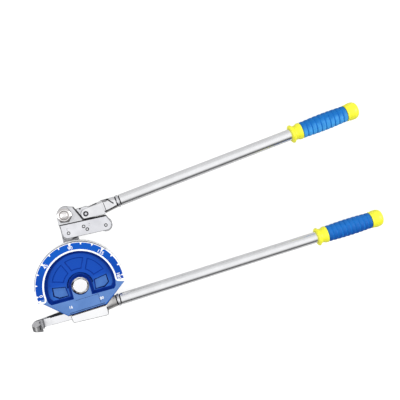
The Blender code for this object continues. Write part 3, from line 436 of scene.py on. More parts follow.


# Painted light and shade: this blue is darker towards the top of the wheel and lighter towards the bottom.
vivid_blue = enamel("vivid_blue", (0.0035, 0.060, 0.385), (0.022, 0.115, 0.46), 0.42, 0.12,
                    heights=(30 * mm, -22 * mm))
# Painted sheen: the plain front's lighter blue stands for the light its satin paint catches.
sheen_painted_blue = enamel("sheen_painted_blue", (0.078, 0.180, 0.44), (0.098, 0.210, 0.49), 0.4, 0.35)
pale_blue = enamel("pale_blue", (0.042, 0.130, 0.40), (0.060, 0.165, 0.45), 0.45, 0.2)
# Painted shade: these four darker blues stand for shade in the trench, on the panels' sides, on the recess
# walls and in the creases.
trench_shade_blue = enamel("trench_shade_blue", (0.001, 0.034, 0.27), (0.002, 0.042, 0.31), 0.5, 0.08)
panel_wall_shade_blue = enamel("panel_wall_shade_blue", (0.002, 0.034, 0.27), (0.003, 0.042, 0.31), 0.5, 0.08)
wall_shade_blue = enamel("wall_shade_blue", (0.001, 0.020, 0.19), (0.002, 0.030, 0.25), 0.5, 0.08)
crease_shade_blue = enamel("crease_shade_blue", (0.0005, 0.006, 0.06), (0.001, 0.010, 0.09), 0.5, 0.05)
# Painted shade: a dark metal for the rim's rounded upper corner.
rim_shade_metal = steel("rim_shade_metal", (0.10, 0.12, 0.20), (0.16, 0.18, 0.26), 0.42)
turned_aluminium = steel("turned_aluminium", (0.90, 0.90, 0.90), (0.94, 0.94, 0.94), 0.42, (1, 1, 8),
                         metallic=0.35)
flange_radius = bend_radius + flange_overlap
groove_radius = tube_radius + groove_clearance
flange_round = 1.2 * mm
wheel_bore_radius = 15.9 * mm
rim_end_right = math.radians(-6.8)
rim_end_left = math.radians(188)
tail_clearance = 0.5 * mm
left_tip_drop = 14.4 * mm
base_half_width = 35.3 * mm
base_drop = 47 * mm
base_plate_thickness = 8 * mm
full_width_drop = 24 * mm
outline_margin = 2 * mm
edge_fall = [(0, 2.2 * mm), (0.4 * mm, 1.2 * mm), (1.1 * mm, 0.4 * mm), (2.2 * mm, 0)]
overrun = 4 * mm


def on_handle_line(x, y):
    """A point given along the form handle, in the wheel's axes."""
    cosine = math.cos(form_handle_tilt)
    sine = math.sin(form_handle_tilt)
    return (x * cosine - y * sine, x * sine + y * cosine)


def in_handle_axes(x, y):
    """A point of the wheel, given in the form handle's axes."""
    cosine = math.cos(form_handle_tilt)
    sine = math.sin(form_handle_tilt)
    return (x * cosine + y * sine, -x * sine + y * cosine)


def wheel_profile():
    """The wheel's section: faces, rounded flange edges and the half-round groove."""
    groove_steps = 26
    half_opening = math.sqrt(groove_radius ** 2 - flange_overlap ** 2)
    start = math.atan2(half_opening, flange_overlap)
    sweep = math.tau - 2 * start
    groove = []
    for step in range(groove_steps + 1):
        angle = start + sweep * step / groove_steps
        radius = bend_radius + groove_radius * math.cos(angle)
        groove.append((radius, tube_plane + groove_radius * math.sin(angle)))
    front = arc((flange_radius - flange_round, wheel_front - flange_round), flange_round, math.pi / 2, 0, 4)
    rear = arc((flange_radius - flange_round, wheel_rear + flange_round), flange_round, 0, -math.pi / 2, 4)
    return [(wheel_bore_radius, wheel_front), *front, *groove, *rear, (wheel_bore_radius, wheel_rear)]


def base_outline(grow=0.0):
    """The wheel from the front: round rim, two tips and the straight lower edge."""
    tail_x = bend_radius - tube_radius - tail_clearance
    left_tip = (-tail_x - grow, -left_tip_drop - grow)
    lower_left = on_handle_line(-base_half_width - grow, -base_drop - grow)
    lower_right = on_handle_line(base_half_width + grow, -base_drop - grow)
    rim = arc((0, 0), flange_radius + outline_margin, rim_end_right, rim_end_left)
    return rim + [left_tip, lower_left, lower_right]


recess_radius = 62.8 * mm
recess_drop = 20.3 * mm
recess_corner_drop = 15.5 * mm
recess_depth = 8 * mm
recess_draft = 2.6 * mm
hub_radius = 16.4 * mm
leg_half_width = 16.6 * mm
trench_radius = 23.5 * mm
trench_depth = 3 * mm
trench_draft = 1 * mm
rib_angles = [math.radians(angle) for angle in (17, 66, 114, 163)]
rib_half_width = 3.2 * mm
panel_inner_radius = 29.5 * mm
panel_outer_radius = 50.5 * mm
panel_depth = 1.6 * mm
panel_draft = 1.1 * mm
corner_panel_share = [(0.52, 0.06), (0.97, 0.14), (0.99, -0.15), (0.82, -0.27), (0.49, -0.27)]


def recess_outline(margin):
    """The D-shaped recess round the hub and its leg."""
    radius = recess_radius - margin
    drop = recess_drop - margin
    corner_drop = recess_corner_drop - margin
    hub = hub_radius + margin
    leg = leg_half_width + margin
    corner = math.asin(corner_drop / radius)
    hub_turn = math.acos(leg / hub) if leg < hub else 0.0
    corner_x = math.sqrt(radius ** 2 - drop ** 2) - recess_draft
    outer = arc((0, 0), radius, -corner, math.pi + corner, 72)
    inner = arc((0, 0), hub, math.pi + hub_turn, -hub_turn, 48)
    return outer + [(-corner_x, -drop), (-leg, -drop)] + inner + [(leg, -drop), (corner_x, -drop)]


def trench_outline(margin):
    """The deeper ring next to the hub."""
    outer = arc((0, 0), trench_radius - margin, 0, math.pi, 40)
    return outer + arc((0, 0), hub_radius + recess_draft + margin / 2, math.pi, 0, 40)


def panel_outline(first, last, margin):
    """A sunk panel between two ribs."""
    outer = panel_outer_radius - margin
    inner = panel_inner_radius + margin
    outer_turn = math.asin((rib_half_width + margin) / outer)
    inner_turn = math.asin((rib_half_width + margin) / inner)
    rim = arc((0, 0), outer, first + outer_turn, last - outer_turn, 14)
    return rim + arc((0, 0), inner, last - inner_turn, first + inner_turn, 10)


def corner_panel(side, margin):
    """One of the two five-sided panels at the ends of the recess."""
    points = [Vector((side * x * panel_outer_radius, y * panel_outer_radius)) for x, y in corner_panel_share]
    middle = sum(points, Vector((0, 0))) / len(points)
    return [tuple(point - (point - middle).normalized() * margin) for point in points]


def panel_tool(outlines):
    """The cutter of a sunk panel through four outlines, from its floor up to its rounded edge."""
    floor_level = recess_floor - panel_depth
    levels = (floor_level, floor_level + lip, recess_floor - lip * 0.4, recess_floor + lip * 0.2)
    return loft(*zip(outlines, levels))


recess_floor = wheel_front - recess_depth
lip = 0.5 * mm
foot = 2.6 * mm
recess_tool = loft((recess_outline(recess_draft + foot), recess_floor),
                   (recess_outline(recess_draft + foot * 0.3), recess_floor + foot * 0.3),
                   (recess_outline(recess_draft), recess_floor + foot),
                   (recess_outline(lip * 0.4), wheel_front - lip),
                   (recess_outline(-lip * 0.2), wheel_front - lip * 0.2),
                   (recess_outline(-lip), wheel_front + lip * 0.2),
                   (recess_outline(-lip), wheel_front + overrun))
trench_floor = recess_floor - trench_depth
trench_tool = loft((trench_outline(trench_draft + lip), trench_floor),
                   (trench_outline(trench_draft), trench_floor + lip),
                   (trench_outline(0), recess_floor - lip * 0.3),
                   (trench_outline(-lip), recess_floor + lip * 0.3))
panel_margins = (panel_draft + lip, panel_draft, lip * 0.4, -lip)
corner_margins = (0.6 * panel_draft + lip, 0.6 * panel_draft, -0.8 * panel_draft, -0.8 * panel_draft - lip)
panel_tools = [panel_tool([panel_outline(first, last, margin) for margin in panel_margins])
               for first, last in zip(rib_angles, rib_angles[1:])]
panel_tools += [panel_tool([corner_panel(side, margin) for margin in corner_margins]) for side in (-1, 1)]
reach = flange_radius + overrun
step_outline = [on_handle_line(-reach, -full_width_drop), on_handle_line(-reach, -2 * full_width_drop),
                on_handle_line(reach, -2 * full_width_drop), on_handle_line(reach, -full_width_drop)]
handle_seat = sheet(step_outline, wheel_rear - overrun, wheel_front - base_plate_thickness)
outline_tool = loft((base_outline(), wheel_rear - overrun),
                    *[(base_outline(-margin), wheel_front - fall) for margin, fall in edge_fall],
                    (base_outline(-edge_fall[-1][0]), wheel_front + overrun))


def ribbon(path, width):
    """A flat strip along a path of points."""
    sides = [[], []]
    for index, point in enumerate(path):
        before = Vector(path[max(index - 1, 0)])
        after = Vector(path[min(index + 1, len(path) - 1)])
        along = (after - before).normalized()
        across = Vector((-along.y, along.x)) * width / 2
        sides[0].append(tuple(Vector(point) + across))
        sides[1].append(tuple(Vector(point) - across))
    return sides[0] + sides[1][::-1]


line_depth = 0.5 * mm
line_paths = (([(-31 * mm, -42.6 * mm), (33 * mm, -42.6 * mm)], 1.0 * mm),
              ([(-15 * mm, -23.2 * mm), (26 * mm, -23.2 * mm)], 0.5 * mm),
              ([(26.3 * mm, -23.2 * mm), (26.3 * mm, -40.2 * mm)], 0.5 * mm))
cast_lines = []
for path, width in line_paths:
    strip = [on_handle_line(x, y) for x, y in ribbon(path, width)]
    cast_lines.append(sheet(strip, wheel_front - line_depth, wheel_front + overrun))
wheel_mesh = shaped(lathe(wheel_profile(), 180), keeps=[outline_tool],
                    cuts=[handle_seat, recess_tool, trench_tool, *panel_tools, *cast_lines])


def plain_front(centre, normal):
    """The flat blue front round the recess, painted lighter as sheen."""
    return centre.z > wheel_front - 0.1 * mm and normal.z > 0.9


def bare_metal(centre, normal):
    """The rear and the turned groove, which carry no paint."""
    outside = off_axis(centre) > bend_radius - groove_radius - 0.5 * mm
    return normal.z < -0.9 or (outside and centre.z < wheel_front)


def front_corner(centre, normal):
    """The rounded upper corner of the rim, painted dark as shade."""
    shaded_arc = math.radians(40) < math.atan2(centre.y, centre.x) < math.radians(172)
    corner = off_axis(centre) > flange_radius - flange_round and centre.z > wheel_front - flange_round
    return shaded_arc and corner and normal.z < 0.995


def shaded_walls(centre, normal):
    """The recess walls with their fillets, the ring round the hub and the cast lines, painted darker as
    shade.
    """
    inside = off_axis(centre) < recess_radius + 1 * mm and centre.y > -recess_drop - 0.3 * mm
    return inside and wheel_rear + 1 * mm <= centre.z <= wheel_front - 0.02 * mm and normal.z < 0.985


def panel_walls(centre, normal):
    """The sloping sides of the sunk panels, painted darker as shade."""
    around = panel_inner_radius - 1.5 * mm < off_axis(centre) < panel_outer_radius + 1.5 * mm
    return around and centre.z < recess_floor + 0.3 * mm and 0.05 < normal.z < 0.985


def corner_panel_walls(centre, normal):
    """The steeper sides of the two corner panels, painted near black as shade."""
    return panel_walls(centre, normal) and centre.y < math.sin(rib_angles[0]) * panel_inner_radius + 1 * mm


def hub_ring(centre, normal):
    """The deeper ring round the hub, with its walls, painted darker as shade."""
    around = hub_radius + 0.5 * mm < off_axis(centre) < trench_radius + 1 * mm and centre.y > 0
    return around and wheel_rear + 1 * mm < centre.z < recess_floor - 0.1 * mm


def base_line(centre, normal):
    """The rounded lower edge of the base plate and the lines cast in it, painted near black as shade."""
    height = in_handle_axes(centre.x, centre.y)[1]
    lower_edge = height < -base_drop + 2.4 * mm and 0.05 < normal.z < 0.96
    sunk = wheel_front - 0.6 * mm < centre.z < wheel_front - 0.02 * mm
    on_plate = -base_drop + 2.6 * mm < height < -recess_drop and abs(centre.x) < base_half_width
    return lower_edge or (sunk and on_plate)


def corner_floor(centre, normal):
    """The floors of the two corner panels."""
    level = abs(centre.z - recess_floor + panel_depth) < 0.1 * mm
    return level and normal.z > 0.95 and centre.y < math.sin(rib_angles[0]) * panel_inner_radius


dress("wheel_casting", wheel_mesh, Matrix(), "form", ["form_wheel"], "blue_paint", vivid_blue,
      (sheen_painted_blue, plain_front), (turned_aluminium, bare_metal), (rim_shade_metal, front_corner),
      (wall_shade_blue, shaded_walls), (panel_wall_shade_blue, panel_walls), (crease_shade_blue, corner_panel_walls),
      (trench_shade_blue, hub_ring), (crease_shade_blue, base_line), (pale_blue, corner_floor))

# The scale: white line, degree notches and plain numbers, printed on the wheel's blue front.
# The blue band between the notches is a second print, so both stand a hair above the casting.
print_white = enamel("print_white", (0.88, 0.88, 0.87), (0.92, 0.92, 0.91), 0.5, 0.3)
# Painted light: the printed band is lighter towards the top of the wheel.
print_blue = enamel("print_blue", (0.003, 0.058, 0.37), (0.004, 0.086, 0.45), 0.45, 0.08,
                    heights=(5 * mm, 70 * mm))
print_height = 0.12 * mm
line_inner = 63.3 * mm
line_outer = 66.2 * mm
band_outer = 78.3 * mm
rim_white = 79.4 * mm
notch_turn = math.radians(15)
notch_half = 1.7 * mm
notch_depth = 3.4 * mm
main_notch_half = 2.6 * mm
main_notch_depth = 5.0 * mm
notch_floor_share = 0.35
band_end_left = math.radians(185.6)
band_end_right = math.radians(-4.8)
ring_end_left = math.radians(187.5)
ring_end_right = math.radians(-6.5)


def band_outline():
    """The blue band with a notch in its outer edge at each mark."""
    points = []
    start = band_end_left
    for mark in range(12, -1, -1):
        angle = mark * notch_turn
        main = mark in (3, 6, 9)
        half = main_notch_half if main else notch_half
        depth = main_notch_depth if main else notch_depth
        points += arc((0, 0), band_outer, start, angle + half / band_outer)
        inner = band_outer - depth
        points.append(polar(inner, angle + notch_floor_share * half / inner))
        points.append(polar(inner, angle - notch_floor_share * half / inner))
        start = angle - half / band_outer
    points += arc((0, 0), band_outer, start, band_end_right)
    return points + arc((0, 0), line_outer, band_end_right, band_end_left)


line_radius = (line_inner + line_outer) / 2
left_elbow = arc((-line_radius - 4 * mm, -8.5 * mm), 4 * mm, 0, -math.pi / 2, 6)
right_elbow = arc((line_radius + 4.6 * mm, -3.6 * mm), 4.6 * mm, -math.pi / 2 - 0.2, -math.pi, 6)
line_path = [(79.2 * mm, -11.4 * mm)] + right_elbow
line_path += arc((0, 0), line_radius, math.radians(-1), math.radians(186)) + left_elbow
line_path.append((-76.5 * mm, -11.2 * mm))
white_line = sheet(ribbon(line_path, line_outer - line_inner), wheel_front, wheel_front + print_height)
dress("scale_line", white_line, Matrix(), "form", [], "blue_paint", print_white)
ring_outline = arc((0, 0), rim_white, ring_end_right, ring_end_left)
ring_outline += arc((0, 0), band_outer - main_notch_depth, ring_end_left, ring_end_right)
ring_mesh = sheet(ring_outline, wheel_front, wheel_front + print_height / 2)
dress("scale_ring", ring_mesh, Matrix(), "form", [], "blue_paint", print_white)
band_mesh = sheet(band_outline(), wheel_front, wheel_front + print_height)
dress("scale_band", band_mesh, Matrix(), "form", [], "blue_paint", print_blue)


def figures(name, text, place, turn, size, height):
    """Plain numbers as a thin flat print."""
    lettering = bpy.data.curves.new(name, "FONT")
    lettering.body = text
    lettering.size = size
    lettering.align_x = "CENTER"
    lettering.align_y = "CENTER"
    lettering.extrude = print_height / 4
    lettering.offset = size * figure_boldness
    holder = object_of("lettering", lettering)
    mesh = evaluated_mesh(holder)
    bpy.data.objects.remove(holder, do_unlink=True)
    spot = Matrix.Translation((*place, height)) @ Matrix.Rotation(turn, 4, "Z")
    dress(name, mesh, spot, "form", [], "blue_paint", print_white)


figure_radius = 70.2 * mm
figure_size = 8.6 * mm
plate_figure_size = 7 * mm
figure_lift = print_height * 1.4
figure_boldness = 0.012
for degrees in (0, 45, 90, 135, 180):
    angle = math.pi - math.radians(degrees)
    figures("scale_" + str(degrees), str(degrees), polar(figure_radius, angle), angle - math.pi / 2,
            figure_size, wheel_front + figure_lift)
for name, text, place in (("tube_size_figure", "16", (-25.6 * mm, -33.4 * mm)),
                          ("bend_radius_figure", "80", (31.6 * mm, -31.6 * mm))):
    figures(name, text, place, form_handle_tilt, plate_figure_size, wheel_front + print_height)

# The hub: a ground steel pin in a bright bush, kept by a dark spring ring.
# Its flat end and the nut behind it are all of the pivot that shows.
ground_steel = steel("ground_steel", (0.93, 0.93, 0.93), (0.89, 0.89, 0.90), 0.36, (1, 1, 6))
spring_steel, tree, shader, where = finish_nodes("spring_steel", (0.4, 0.4, 0.4), 0.34, 1.0)
tinted(tree, grain(tree, where, 130, 1.0), (0.02, 0.02, 0.025), (0.80, 0.78, 0.75), shader)
relief(tree, grain(tree, where, 500), 0.01 * mm, shader)
# Painted shade: a dark steel for the sides of pieces and for hollows.
dark_shade_steel = steel("dark_shade_steel", (0.17, 0.17, 0.18), (0.27, 0.27, 0.28), 0.42)
link_rest_angle = math.radians(87.8)
link_place = Matrix.Rotation(link_rest_angle - math.pi / 2, 4, "Z")
pin_radius = 12.4 * mm
pin_recess = 1.3 * mm
pin_round = 0.8 * mm
pin_shank_radius = 9.9 * mm
bush_clearance = 0.3 * mm
ring_setback = 2.9 * mm
ring_thickness = 1.2 * mm
ring_inner_radius = 11.9 * mm
ring_outer_radius = 14.9 * mm
ring_gap_angle = math.radians(24)
ring_groove_radius = 11.6 * mm
pivot_nut_flats = 30 * mm
bolt_clearance = 0.3 * mm
nut_face_share = 0.98
nut_cone_slope = 0.55
fine_edge = 0.15 * mm
bush_edge = 0.4 * mm
pin_front = wheel_front - pin_recess
ring_front = pin_front - ring_setback
ring_rear = ring_front - ring_thickness
shoulder = link_front + running_gap
pin_profile = [(0, pin_front)]
pin_profile += arc((pin_radius - pin_round, pin_front - pin_round), pin_round, math.pi / 2, 0, 4)
pin_profile += [(pin_radius, ring_front + running_gap), (ring_groove_radius, ring_front + running_gap),
                (ring_groove_radius, ring_rear - running_gap), (pin_radius, ring_rear - running_gap),
                (pin_radius, shoulder), (pin_shank_radius, shoulder), (pin_shank_radius, running_gap),
                (0, running_gap)]
dress("hub_pin", lathe(pin_profile, 72, closed=False), link_place, "link", ["pivot_pin"], "bright_steel",
      ground_steel)
bush_top = ring_rear - running_gap
bush_inner = pin_radius + bush_clearance
bush_outer = wheel_bore_radius - bush_clearance
bush_bottom = wheel_rear + running_gap
bush_profile = [(bush_inner, bush_top - bush_edge), (bush_inner + bush_edge, bush_top),
                (bush_outer - bush_edge, bush_top), (bush_outer, bush_top - bush_edge),
                (bush_outer, bush_bottom), (bush_inner, bush_bottom)]
dress("hub_bush", lathe(bush_profile, 72), Matrix(), "form", ["wheel_bush"], "bright_steel", ground_steel)
ring_start = math.pi / 2 + ring_gap_angle / 2
ring_finish = math.pi / 2 + math.tau - ring_gap_angle / 2
spring_ring = arc((0, 0), ring_outer_radius, ring_start, ring_finish)
spring_ring += arc((0, 0), ring_inner_radius, ring_finish, ring_start)
dress("spring_ring", shaped(sheet(spring_ring, ring_rear, ring_front), edge=fine_edge), link_place, "link",
      ["pivot_circlip"], "dark_steel", spring_steel, (dark_shade_steel, side_faces))


def hexagon(across_flats):
    """Corners of a nut or a bolt head."""
    return circle((0, 0), across_flats / math.sqrt(3), 6)


def nut_mesh(across_flats, bore_radius):
    """A thin hexagon nut with both faces chamfered."""
    corner = across_flats / math.sqrt(3)
    face = across_flats / 2 * nut_face_share
    drop = (corner - face) * nut_cone_slope
    cone = [(0, thin_nut_height), (face, thin_nut_height), (corner, thin_nut_height - drop), (corner, drop),
            (face, 0), (0, 0)]
    blank = sheet(hexagon(across_flats), -overrun, thin_nut_height + overrun)
    bore = sheet(circle((0, 0), bore_radius), -overrun, thin_nut_height + overrun)
    return shaped(lathe(cone, 72, closed=False), keeps=[blank], cuts=[bore], edge=fine_edge)


zinc_steel = steel("zinc_steel", (0.70, 0.70, 0.72), (0.76, 0.76, 0.77), 0.28)
dress("hub_nut", nut_mesh(pivot_nut_flats, pin_shank_radius + bolt_clearance), link_place, "link",
      ["pivot_nut"], "bright_steel", zinc_steel)

# The link: a flat steel arm behind the wheel, from the hub to the hexagon bolt.
# It is cut from plate, brushed along its length, with its edges broken; its darker colour is painted shade
# from the shoe and the wheel.
# Two thin dark sheets on it, below the shoe's side plate, are painted shadows of the plate.
brushed_shaded_plate = steel("brushed_shaded_plate", (0.34, 0.34, 0.36), (0.44, 0.44, 0.46), 0.36, (10, 1, 1))
# Near-black steel: the fork screw's own colour, and elsewhere painted shade and painted shadows.
black_steel_and_shade = steel("black_steel_and_shade", (0.035, 0.035, 0.04), (0.07, 0.07, 0.075), 0.5)
roller_root_radius = 9 * mm
bolt_rise = 33 * mm
bolt_distance = bend_radius + tube_radius + roller_root_radius + bolt_rise
link_half_width = 14.2 * mm
link_eye_radius = 21 * mm
link_edge = 0.6 * mm
shadow_sheet_lift = 0.02 * mm
shadow_sheet_top = link_front + 0.12 * mm
shadow_sheet_width = 1.5 * mm
shoe_bolt_radius = 7.9 * mm
eye_turn = math.acos(link_half_width / link_eye_radius)
link_outline = arc((0, 0), link_eye_radius, math.pi - eye_turn, math.tau + eye_turn)
link_outline += arc((0, bolt_distance), link_half_width, 0, math.pi)
link_holes = [circle((0, 0), pin_shank_radius + bolt_clearance),
              circle((0, bolt_distance), shoe_bolt_radius + bolt_clearance)]
link_mesh = shaped(sheet(link_outline, link_rear, link_front, link_holes), edge=link_edge)
dress("link_bar", link_mesh, link_place, "link", ["link_arm"], "bright_steel", brushed_shaded_plate,
      (dark_shade_steel, side_faces))
right_plate_shadow = [(1.3 * mm, 83.7 * mm), (3.5 * mm, 81.9 * mm), (13.2 * mm, 84 * mm), (13.2 * mm, 86.4 * mm)]
left_plate_shadow = ribbon([(-13 * mm, 92 * mm), (-12.4 * mm, 86.8 * mm), (-8.8 * mm, 83.2 * mm)], shadow_sheet_width)
for side, outline, finish in (("right", right_plate_shadow, black_steel_and_shade), ("left", left_plate_shadow, dark_shade_steel)):
    dress("plate_shadow_" + side, sheet(outline, link_front + shadow_sheet_lift, shadow_sheet_top), link_place, "link", [],
          "dark_steel", finish)

# The shoe's bolt: a forged hexagon head, domed in the middle with a groove round the dome, and a thin nut.
# A thin black sheet under the head, set off to one side, is a painted shadow; the sleeve below it is what the
# shoe turns on.
shoe_place = link_place @ Matrix.Translation((0, bolt_distance, 0))
bright_zinc = steel("bright_zinc", (0.84, 0.82, 0.82), (0.90, 0.88, 0.88), 0.26)
# Painted shade: a duller zinc for the head's chamfer and dome ring, and a dark one for its groove.
head_ring_shade_zinc = steel("head_ring_shade_zinc", (0.64, 0.61, 0.60), (0.78, 0.75, 0.74), 0.30)
head_groove_shade_zinc = steel("head_groove_shade_zinc", (0.13, 0.12, 0.11), (0.24, 0.21, 0.20), 0.5)
bolt_flats = 24 * mm
bolt_head_height = 10 * mm
body_setback = 2 * mm
body_front = wheel_front - body_setback
head_seat = body_front + running_gap
head_top = head_seat + bolt_head_height
head_turn = Matrix.Rotation(math.radians(-7), 4, "Z")
head_edge = 0.25 * mm
crown_rise = 0.2 * mm
crown_radius = 9.6 * mm
dome_centre = 3.2 * mm
groove_inner = 7 * mm
groove_outer = 8.2 * mm
blank_radius = bolt_flats / math.sqrt(3) + 0.2 * mm
sleeve_wall = 2 * mm
sleeve_inner = shoe_bolt_radius + bolt_clearance
sleeve_radius = sleeve_inner + sleeve_wall
head_falls = [(0, -crown_rise), (1.8 * mm, -0.1 * mm), (3.6 * mm, 0.25 * mm), (5.4 * mm, 0.85 * mm),
              (groove_inner, 1.5 * mm), (7.9 * mm, 1.4 * mm), (groove_outer, 0.1 * mm),
              (8.6 * mm, -crown_rise), (crown_radius, -crown_rise), (10.3 * mm, 0.1 * mm),
              (blank_radius, 2.3 * mm)]
head_profile = [(radius, head_top - fall) for radius, fall in head_falls]
head_profile += [(blank_radius, head_seat), (shoe_bolt_radius, head_seat), (shoe_bolt_radius, running_gap),
                 (0, running_gap)]
head_blank = sheet(hexagon(bolt_flats), running_gap - overrun, head_top + overrun)
head_blank.transform(head_turn)
head_mesh = shaped(lathe(head_profile, 72, closed=False), keeps=[head_blank], edge=head_edge)


def head_flanks(centre, normal):
    """The flats of the head, painted dark as shade, but for the upper one."""
    return off_axis(centre) > crown_radius and abs(normal.z) < 0.5 and (normal.y < 0.3 or normal.x > 0.3)


def head_ring(centre, normal):
    """The head's chamfer and the ring round its domed middle, painted duller as shade."""
    return off_axis(centre) > dome_centre and 0.5 < normal.z < 0.9995


def head_groove(centre, normal):
    """The ring-shaped groove round the head's domed middle, painted dark as shade."""
    return groove_inner < off_axis(centre) < groove_outer and centre.z > head_seat


dress("shoe_hex_bolt", head_mesh, shoe_place, "link", ["shoe_bolt"], "bright_steel", bright_zinc,
      (dark_shade_steel, head_flanks), (head_ring_shade_zinc, head_ring), (head_groove_shade_zinc, head_groove))
head_shadow_margin = 1.2 * mm
head_shadow_shift = Matrix.Translation((-0.3 * mm, -0.7 * mm, 0))
head_shadow_rear = body_front + 0.05 * mm
head_shadow_front = body_front + 0.25 * mm
head_shadow_mesh = sheet(hexagon(bolt_flats + head_shadow_margin), head_shadow_rear, head_shadow_front, [circle((0, 0), sleeve_inner)])
head_shadow_mesh.transform(head_shadow_shift @ head_turn)
dress("bolt_head_shadow", head_shadow_mesh, shoe_place, "link", [], "dark_steel", black_steel_and_shade)
sleeve_bottom = link_front + running_gap
sleeve_profile = [(sleeve_inner, body_front), (sleeve_radius, body_front), (sleeve_radius, sleeve_bottom),
                  (sleeve_inner, sleeve_bottom)]
dress("shoe_sleeve", lathe(sleeve_profile, 60), shoe_place, "link", ["shoe_bush"], "bright_steel",
      ground_steel)
dress("shoe_thin_nut", nut_mesh(bolt_flats, sleeve_inner), shoe_place, "link", ["shoe_nut"], "bright_steel",
      zinc_steel)

# The shoe: a machined steel block between two riveted side plates, carrying the grooved rollers.
# The block is notched for the lever's fork; the plates are blanked from sheet and plated.
machined_steel = steel("machined_steel", (0.66, 0.66, 0.68), (0.78, 0.78, 0.80), 0.32, (1, 6, 1))
blanked_plate = steel("blanked_plate", (0.68, 0.68, 0.71), (0.80, 0.80, 0.83), 0.34, (1, 7, 1))
# Painted shade: a mid grey for the sides of plates, lug and latch arm, and the top of the lever's neck.
shade_grey_steel = steel("shade_grey_steel", (0.30, 0.30, 0.31), (0.42, 0.42, 0.43), 0.4)
plate_thickness = 4 * mm
roller_flange_radius = 12 * mm
roller_left_x = 0.5 * mm
roller_spacing = 67 * mm
roller_scallop = 0.8 * mm
pin_end_radius = 2.85 * mm
pin_clearance = 0.3 * mm
roller_height = -bolt_rise
plate_top = roller_height + 16.25 * mm
plate_bottom = roller_height - 9.3 * mm
roller_right_x = roller_left_x + roller_spacing
spacer_place = (roller_left_x + roller_spacing / 2, roller_height)
dowel_place = (spacer_place[0] - 5.3 * mm, spacer_place[1] + 6.1 * mm)
roller_places = ((roller_left_x, roller_height), (roller_right_x, roller_height))
clevis_round = 9 * mm
screw_place = (37.2 * mm, plate_top + 1.95 * mm + clevis_round)
clevis_gap = 1.9 * mm
tongue_half = 5.7 * mm
clevis_screw_radius = 3.9 * mm
body_round = 13.9 * mm
body_top_corner = (17.2 * mm, 10.2 * mm)
body_crown = math.radians(76.5)
tongue_round = 12.4 * mm
block_edge = 0.7 * mm
plate_edge = 0.8 * mm
gap_width = 2 * mm
gap_depth = 0.8 * mm
oil_hole_place = (28.7 * mm, 5.2 * mm)
oil_hole_radius = 1.8 * mm
punch_marks = ((0.1 * mm, -25.9 * mm), (39 * mm, -25.7 * mm))
plate_rear_top = wheel_rear + plate_thickness
plate_front_bottom = wheel_front - plate_thickness


def rounded(corners):
    """An outline through (x, y, radius) corners, each rounded by its own radius."""
    outline = []
    for index, (x, y, radius) in enumerate(corners):
        here = Vector((x, y))
        before = (Vector(corners[index - 1][:2]) - here).normalized()
        after = (Vector(corners[(index + 1) % len(corners)][:2]) - here).normalized()
        if radius <= 0:
            outline.append((x, y))
            continue
        half = before.angle(after) / 2
        length = radius / math.tan(half)
        centre = here + (before + after).normalized() * (radius / math.sin(half))
        first = here + before * length - centre
        last = here + after * length - centre
        start = math.atan2(first.y, first.x)
        sweep = (math.atan2(last.y, last.x) - start + math.pi) % math.tau - math.pi
        outline += arc(centre, radius, start, start + sweep)
    return outline


def notch_line():
    """The slanted face of the notch: its foot and its direction."""
    top = Vector(body_top_corner)
    screw = Vector(screw_place)
    toward = math.atan2(screw.y - top.y, screw.x - top.x)
    slope = toward - math.asin((clevis_round + clevis_gap) / (screw - top).length)
    heading = Vector((math.cos(slope), math.sin(slope)))
    return top + heading * ((plate_top + running_gap - top.y) / heading.y), heading


notch_foot, notch_heading = notch_line()
block_outline = arc((0, 0), body_round, body_crown, math.pi)
block_outline += [(-body_round, notch_foot.y), (notch_foot.x, notch_foot.y), body_top_corner]
hollow = roller_flange_radius + roller_scallop
web_foot = 5 * mm
foot_turn = math.asin(web_foot / hollow)
web_left = arc(roller_places[0], hollow, math.radians(125), -foot_turn)
web_right = arc(roller_places[1], hollow, math.pi + foot_turn, math.pi / 2)
web_level = notch_foot.y + 0.25 * mm
web_inside = 2 * mm
web_edge = -body_round + 1 * mm
web_end = roller_right_x + 3 * mm
web_outline = web_left + web_right
web_outline += [(web_end, roller_height + hollow), (web_end, web_level),
                (notch_foot.x - web_inside, web_level), (notch_foot.x - web_inside, web_level + web_inside),
                (web_edge, web_level + web_inside), (web_edge, web_left[0][1])]
tongue_low = notch_foot.y - web_inside
tongue_outline = arc(screw_place, tongue_round, 0, math.radians(110))
tongue_outline += [tuple(Vector(body_top_corner) + notch_heading * 6 * mm - Vector((3 * mm, 0))),
                   (notch_foot.x - 6 * mm, tongue_low), (screw_place[0] + tongue_round, tongue_low)]
web_half = (plate_front_bottom - plate_rear_top) / 2 - running_gap
web_mesh = sheet(web_outline, tube_plane - web_half, tube_plane + web_half)
tongue_mesh = sheet(tongue_outline, tube_plane - tongue_half, tube_plane + tongue_half)


def drill(centre, radius, bottom, top):
    """A round cutter along Z."""
    return sheet(circle(centre, radius), bottom, top)


through = (wheel_rear - overrun, wheel_front + overrun)
rivet_hole = pin_end_radius + pin_clearance
screw_hole = clevis_screw_radius + pin_clearance
rivet_bores = [drill(place, rivet_hole, *through) for place in (spacer_place, dowel_place)]
gap_low = notch_foot.y + 0.9 * mm
gap_path = [(body_top_corner[0] + 1.2 * mm, body_top_corner[1]), (notch_foot.x + 1 * mm, gap_low),
            (screw_place[0] + tongue_round + 1 * mm, gap_low)]
gap_groove = sheet(ribbon(gap_path, gap_width), tube_plane + tongue_half - gap_depth, through[1])
oil_hole = drill(oil_hole_place, oil_hole_radius, tube_plane + 2 * mm, through[1])
block = chamfered(block_outline, wheel_rear, body_front, block_edge)
block_mesh = shaped(block, joins=[web_mesh, tongue_mesh],
                    cuts=[drill((0, 0), sleeve_radius + running_gap, *through),
                          drill(screw_place, screw_hole, *through), *rivet_bores, gap_groove, oil_hole])


